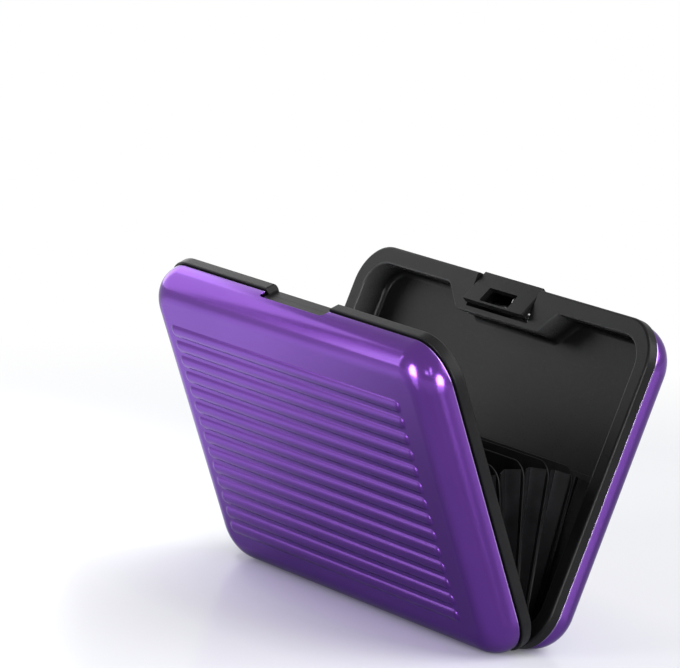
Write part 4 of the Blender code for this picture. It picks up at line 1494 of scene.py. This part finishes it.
    def screw(self, word: str) -> Piece:
        """Models a small screw: domed head, cross recess and shank.

        Args:
            word: Left or right.

        Returns:
            The screw, upright.
        """
        sizes, bench, spot = self.catch, self.bench, self.screws[word]
        face, neck = sizes.face, sizes.face + sizes.head_height
        screw = bench.rod(
            f"catch_screw_{word}_turned", sizes.head_radius, spot, face, neck, Drawing.OUTLINE
        )
        bench.bevel(screw, at_depth(face), sizes.dome, sizes.dome_steps)
        start, end = neck - sizes.head_height / 2, face + sizes.screw_length
        bench.add(screw, bench.rod("shank", sizes.shank_radius, spot, start, end, Drawing.OUTLINE))
        long, thin, deep = sizes.slot
        x, z = spot
        for a, b in ((long, thin), (thin, long)):
            slot = bench.block("cross_recess", (x - a, x + a), (face - deep, face + deep), (z - b, z + b))
            bench.cut(screw, slot)
        return screw


@dataclass
class Pockets:
    """The fan of card pockets: seven sheets, and a folded pleat at each side of each pocket."""

    bench: Bench
    fitter: Fitter
    hinge: Vector
    sizes: PocketSizes = PocketSizes()
    case: CaseSizes = CaseSizes()

    def body(self, index: int) -> str:
        """Names the body that a sheet rides on."""
        return {0: "root", self.sizes.count: "front_half"}.get(index, f"divider_{index}")

    def node(self, index: int) -> str:
        """Names the node of a sheet."""
        return {0: "rear_panel", self.sizes.count: "front_panel"}.get(index, f"divider_{index}")

    def lean(self, index: int) -> float:
        """Gives the lean of a sheet towards the rear."""
        return self.case.lean * (1 - 2 * index / self.sizes.count)

    def depth(self, index: int) -> float:
        """Gives a sheet's distance from the parting plane."""
        return self.sizes.outer - self.sizes.pitch * index

    def build(self) -> None:
        """Builds all sheets and pleats."""
        for index in range(self.sizes.count + 1):
            self.sheet(index)
        for index in range(self.sizes.count):
            self.pleat(index, -1, "left")
            self.pleat(index, 1, "right")

    def sheet(self, index: int) -> None:
        """Models one sheet with the foot that closes the pocket in front of it.

        Args:
            index: Which sheet, from the rear.
        """
        sizes, bench = self.sizes, self.bench
        half, low, thick = sizes.length / 2, sizes.foot, sizes.thickness
        corners = [(-half, low, 0), (half, low, 0)]
        corners += [(half, sizes.rise, sizes.corner), (-half, sizes.rise, sizes.corner)]
        near = self.depth(index) - thick / 2
        sheet = bench.plate(f"pocket_sheet_{index + 1}", rounded(corners), near, near + thick)
        bench.soften(sheet, sizes.edge)
        if index < sizes.count:
            depth = (near - (sizes.pitch - thick - self.case.gap), near + thick / 2)
            bench.add(sheet, bench.block("foot", (-half, half), depth, (low, low + thick)))
        bench.place(sheet, Matrix.Translation(self.hinge) @ Matrix.Rotation(-self.lean(index), 4, "X"))
        self.fitter.fit(sheet, Slot.FILM, self.body(index), self.node(index))

    def beside(self, index: int, depth: float, rise: float) -> Vector:
        """Gives a point beside a sheet in the open case, at x 0."""
        sin, cos = math.sin(self.lean(index)), math.cos(self.lean(index))
        return self.hinge + Vector((0, rise * sin + depth * cos, rise * cos - depth * sin))

    def pleat(self, index: int, side: int, word: str) -> None:
        """Models a pleat: a sheet of film folded inwards between two pocket sheets.

        Args:
            index: The pocket, from the rear.
            side: -1 for the left end, 1 for the right.
            word: The end's name.
        """
        sizes, bench = self.sizes, self.bench
        step = sizes.thickness / 2 + self.case.gap + sizes.pleat_thickness / 2
        low = sizes.foot + sizes.thickness + 2 * self.case.gap
        high = sizes.rise - sizes.pleat_drop
        edge = sizes.length / 2 - sizes.pleat_inset

        def ends(rise: float) -> tuple[Vector, Vector]:
            """Gives the pleat's two ends at a height, beside the sheet behind and the one in front."""
            first = self.beside(index, self.depth(index) - step, rise)
            return first, self.beside(index + 1, self.depth(index + 1) + step, rise)

        across, along = sizes.pleat_grid
        bpy.ops.mesh.primitive_grid_add(x_subdivisions=across, y_subdivisions=along, size=2)
        pleat = bench.named(f"side_pleat_{word}_{index + 1}")
        for vertex in pleat.data.vertices:
            share, climb = (vertex.co.x + 1) / 2, (vertex.co.y + 1) / 2
            first, last = ends(low + (high - low) * climb)
            fold = 1 - math.sqrt((2 * share - 1) ** 2 + sizes.fold_softness)
            spot = first.lerp(last, share)
            vertex.co = Vector((side * (edge - sizes.pleat_depth * max(0.0, fold)), spot.y, spot.z))
        bench.turn_out(pleat)
        bench.modify(pleat, "SOLIDIFY", thickness=sizes.pleat_thickness, offset=0)
        last_pocket = index == sizes.count - 1
        body = "front_half" if last_pocket else None
        self.fitter.fit(pleat, Slot.FILM, body, f"gusset_{word}_{index + 1}", sizes.pleat_smooth)
        start, end = ends(high)
        if last_pocket:
            away = (self.beside(index + 1, 1, 0) - self.beside(index + 1, 0, 0)).normalized()
            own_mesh(pleat)
        else:
            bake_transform(pleat)


@dataclass(frozen=True)
class Sky:
    """A wide far lamp, which lights the whole floor alike; angles in degrees, and 1 is as bright as white."""

    name: str
    azimuth: float
    elevation: float
    spread: float
    radiance: float
    distance: float = 2.0

    def light(self) -> bpy.types.Light:
        """Makes the lamp's light.

        Returns:
            The light.
        """
        data = bpy.data.lights.new(self.name, "SUN")
        data.angle = math.radians(2 * self.spread)
        data.energy = self.radiance * math.pi * math.sin(math.radians(self.spread)) ** 2
        return data


@dataclass(frozen=True)
class SoftBox:
    """A soft box at a distance from the case, with its width and height."""

    name: str
    azimuth: float
    elevation: float
    distance: float
    size: Pair
    radiance: float
    shape: BoxShape = BoxShape.RECTANGLE

    def light(self) -> bpy.types.Light:
        """Makes the lamp's light.

        Returns:
            The light.
        """
        data = bpy.data.lights.new(self.name, "AREA")
        data.shape = self.shape.value
        data.size, data.size_y = self.size
        data.energy = self.radiance * math.pi * self.size[0] * self.size[1]
        return data


@dataclass(frozen=True)
class FloorSpot:
    """A spot that looks straight down at the floor beside the case, with its power in watts."""

    name: str = "floor_spot"
    place: Triple = (-0.155, -0.085, 0.28)
    spread: float = 28
    power: float = 5.6
    softness: float = 0.03

    def light(self) -> bpy.types.Light:
        """Makes the lamp's light.

        Returns:
            The light.
        """
        data = bpy.data.lights.new(self.name, "SPOT")
        data.spot_size = math.radians(2 * self.spread)
        data.spot_blend = 1.0
        data.shadow_soft_size = self.softness
        data.energy = self.power
        return data


@dataclass
class Studio:
    """Floor, lamps, surroundings and camera."""

    azimuth: float = 55.34
    elevation: float = 10.49
    roll: float = 3.26
    distance: float = 1.0258
    shift_right: float = -0.01122
    shift_up: float = 0.05929
    focal_pixels: float = 4633.0
    frame_width: int = 680
    sensor: float = 36.0
    clip: Pair = (0.05, 30)
    fill: float = 0.15
    mirrored: float = 0.5
    floor_size: float = 12
    floor_level: float = -0.00005
    floor_roughness: float = 0.16
    floor_specular: float = 0.12
    floor_colour: Triple = (0.85, 0.87, 0.92)
    mirrored_floor: Triple = (0.44, 0.45, 0.475)
    shadow_lift: float = 0.42
    contact_squeeze: float = 0.3
    contact_near: float = 0.012
    contact_far: float = 0.052
    near_floor: float = 0.12
    far_floor: float = 0.30
    aim: float = 0.03
    # The wide key behind the case, the soft boxes at its left, and the small ones for its edges
    lamps: tuple[Sky | SoftBox, ...] = (
        Sky("key_sky", 135, 36, 28, 3.8),
        Sky("top_sky", 160, 66, 20, 1.2),
        SoftBox("left_box", -72, 24, 0.22, (0.14, 0.12), 1.25),
        SoftBox("left_back_box", -95, 22, 0.36, (0.20, 0.22), 1.25),
        SoftBox("front_strip", -48, 14, 0.7, (0.07, 0.34), 2.6),
        SoftBox("side_strip", 52, 27, 0.8, (0.06, 0.24), 4.5),
        SoftBox("front_glint", -4, 6, 0.8, (0.28, 0.48), 12, BoxShape.ELLIPSE),
        SoftBox("right_glint", 79, 6, 0.8, (0.32, 0.44), 12, BoxShape.ELLIPSE),
        SoftBox("rim_glint", 38.5, 19.6, 0.9, (0.09, 0.09), 7),
    )
    floor_spot: FloorSpot = FloorSpot()

    def build(self) -> None:
        """Sets up the whole studio."""
        self.floor()
        self.surroundings()
        for lamp in self.lamps:
            way = self.way(lamp.azimuth, lamp.elevation)
            hung = self.hang(lamp.light(), Vector((0, 0, self.aim)) + way * lamp.distance)
            hung.rotation_euler = way.to_track_quat("Z", "Y").to_euler()
        self.hang(self.floor_spot.light(), Vector(self.floor_spot.place))
        self.camera()
        bpy.context.scene.view_settings.view_transform = "Standard"

    def floor(self) -> None:
        """Lays a pale, glossy floor, which takes the case's shadow and turns to plain white away from it."""
        bpy.ops.object.select_all(action="DESELECT")
        bpy.ops.mesh.primitive_plane_add(size=self.floor_size, location=(0, 0, self.floor_level))
        floor = bpy.context.active_object
        floor.name = "studio_floor"
        wiring = Wiring(bpy.data.materials.new("pale_floor"))
        wiring.set(
            roughness=self.floor_roughness,
            specular_ior_level=self.floor_specular,
            base_color=wiring.mix(wiring.ray("Is Glossy Ray"), self.floor_colour, self.mirrored_floor),
        )
        far = wiring.span(wiring.length(wiring.spot), 0, 1, self.near_floor, self.far_floor)
        share = wiring.math("MULTIPLY", far, self.seen(wiring))
        squeeze = {0: wiring.spot, 1: (self.contact_squeeze, 1, 0)}
        gap = wiring.length(wiring.node("ShaderNodeVectorMath", squeeze, operation="MULTIPLY"))
        lifted = wiring.span(gap, 0, self.shadow_lift, self.contact_near, self.contact_far)
        both = wiring.math("MAXIMUM", share, wiring.math("MULTIPLY", wiring.ray("Is Camera Ray"), lifted))
        white = wiring.node("ShaderNodeEmission", {})
        blend = wiring.node("ShaderNodeMixShader", {0: both, 1: wiring.shader.outputs["BSDF"], 2: white})
        wiring.feed(wiring.tree.nodes["Material Output"].inputs["Surface"], blend)
        floor.data.materials.append(wiring.owner)

    def seen(self, wiring: Wiring) -> Socket:
        """Tells rays that the camera or a glossy surface sends from those that only light the scene.

        Args:
            wiring: Nodes of the floor's material or of the world.

        Returns:
            A socket of 1 for camera rays, the mirrored share for glossy and transmission rays, and else 0.
        """
        total = wiring.ray("Is Camera Ray")
        for kind in ("Is Glossy Ray", "Is Transmission Ray"):
            total = wiring.math("MULTIPLY_ADD", wiring.ray(kind), self.mirrored, total, clamp=True)
        return total

    def surroundings(self) -> None:
        """Lights the scene softly, and shows white past the floor to the camera and pale grey to a gloss."""
        world = bpy.data.worlds.new("soft_studio")
        bpy.context.scene.world = world
        wiring = Wiring(world, "Background")
        wiring.set(color=(1, 1, 1, 1), strength=wiring.span(self.seen(wiring), self.fill, 1, 0, 1))

    def way(self, azimuth: float, elevation: float) -> Vector:
        """Gives the direction of a place in the studio, in degrees round the case and up from the floor."""
        turn, rise = math.radians(azimuth), math.radians(elevation)
        return Vector((math.sin(turn) * math.cos(rise), -math.cos(turn) * math.cos(rise), math.sin(rise)))

    def hang(self, data: bpy.types.Light, place: Vector) -> Piece:
        """Hangs a lamp that the camera doesn't see.

        Args:
            data: Its light.
            place: Where it hangs.

        Returns:
            The lamp, looking straight down.
        """
        lamp = bpy.data.objects.new(data.name, data)
        bpy.context.scene.collection.objects.link(lamp)
        lamp.location = place
        lamp.visible_camera = False
        return lamp

    def camera(self) -> None:
        """Puts the camera at the photograph's viewing angle."""
        back, roll = self.way(self.azimuth, self.elevation), math.radians(self.roll)
        level = Vector((0, 0, 1)).cross(back).normalized()
        climb = back.cross(level)
        right = level * math.cos(roll) + climb * math.sin(roll)
        up = climb * math.cos(roll) - level * math.sin(roll)
        data = bpy.data.cameras.new("camera")
        data.sensor_width = self.sensor
        data.lens = self.focal_pixels * self.sensor / self.frame_width
        data.clip_start, data.clip_end = self.clip
        camera = bpy.data.objects.new("camera", data)
        bpy.context.scene.collection.objects.link(camera)
        turned = Matrix((right, up, back)).transposed().to_4x4()
        turned.translation = back * self.distance + right * self.shift_right + up * self.shift_up
        camera.matrix_world = turned
        bpy.context.scene.camera = camera


def main() -> None:
    """Builds the case and the studio."""
    logging.basicConfig(level=logging.INFO, format="%(message)s")
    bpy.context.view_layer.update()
    joint = next(item for item in frame["joints"] if item["name"] == "case_hinge")
    hinge = Vector(joint["pos_m"])
    bench = Bench()
    fitter = Fitter(bench, build_finishes())
    for part in (RearHalf, FrontHalf, Pockets):
        part(bench, fitter, hinge).build()
    fitter.coat_tapes()
    Studio().build()


if __name__ == "__main__":
    main()
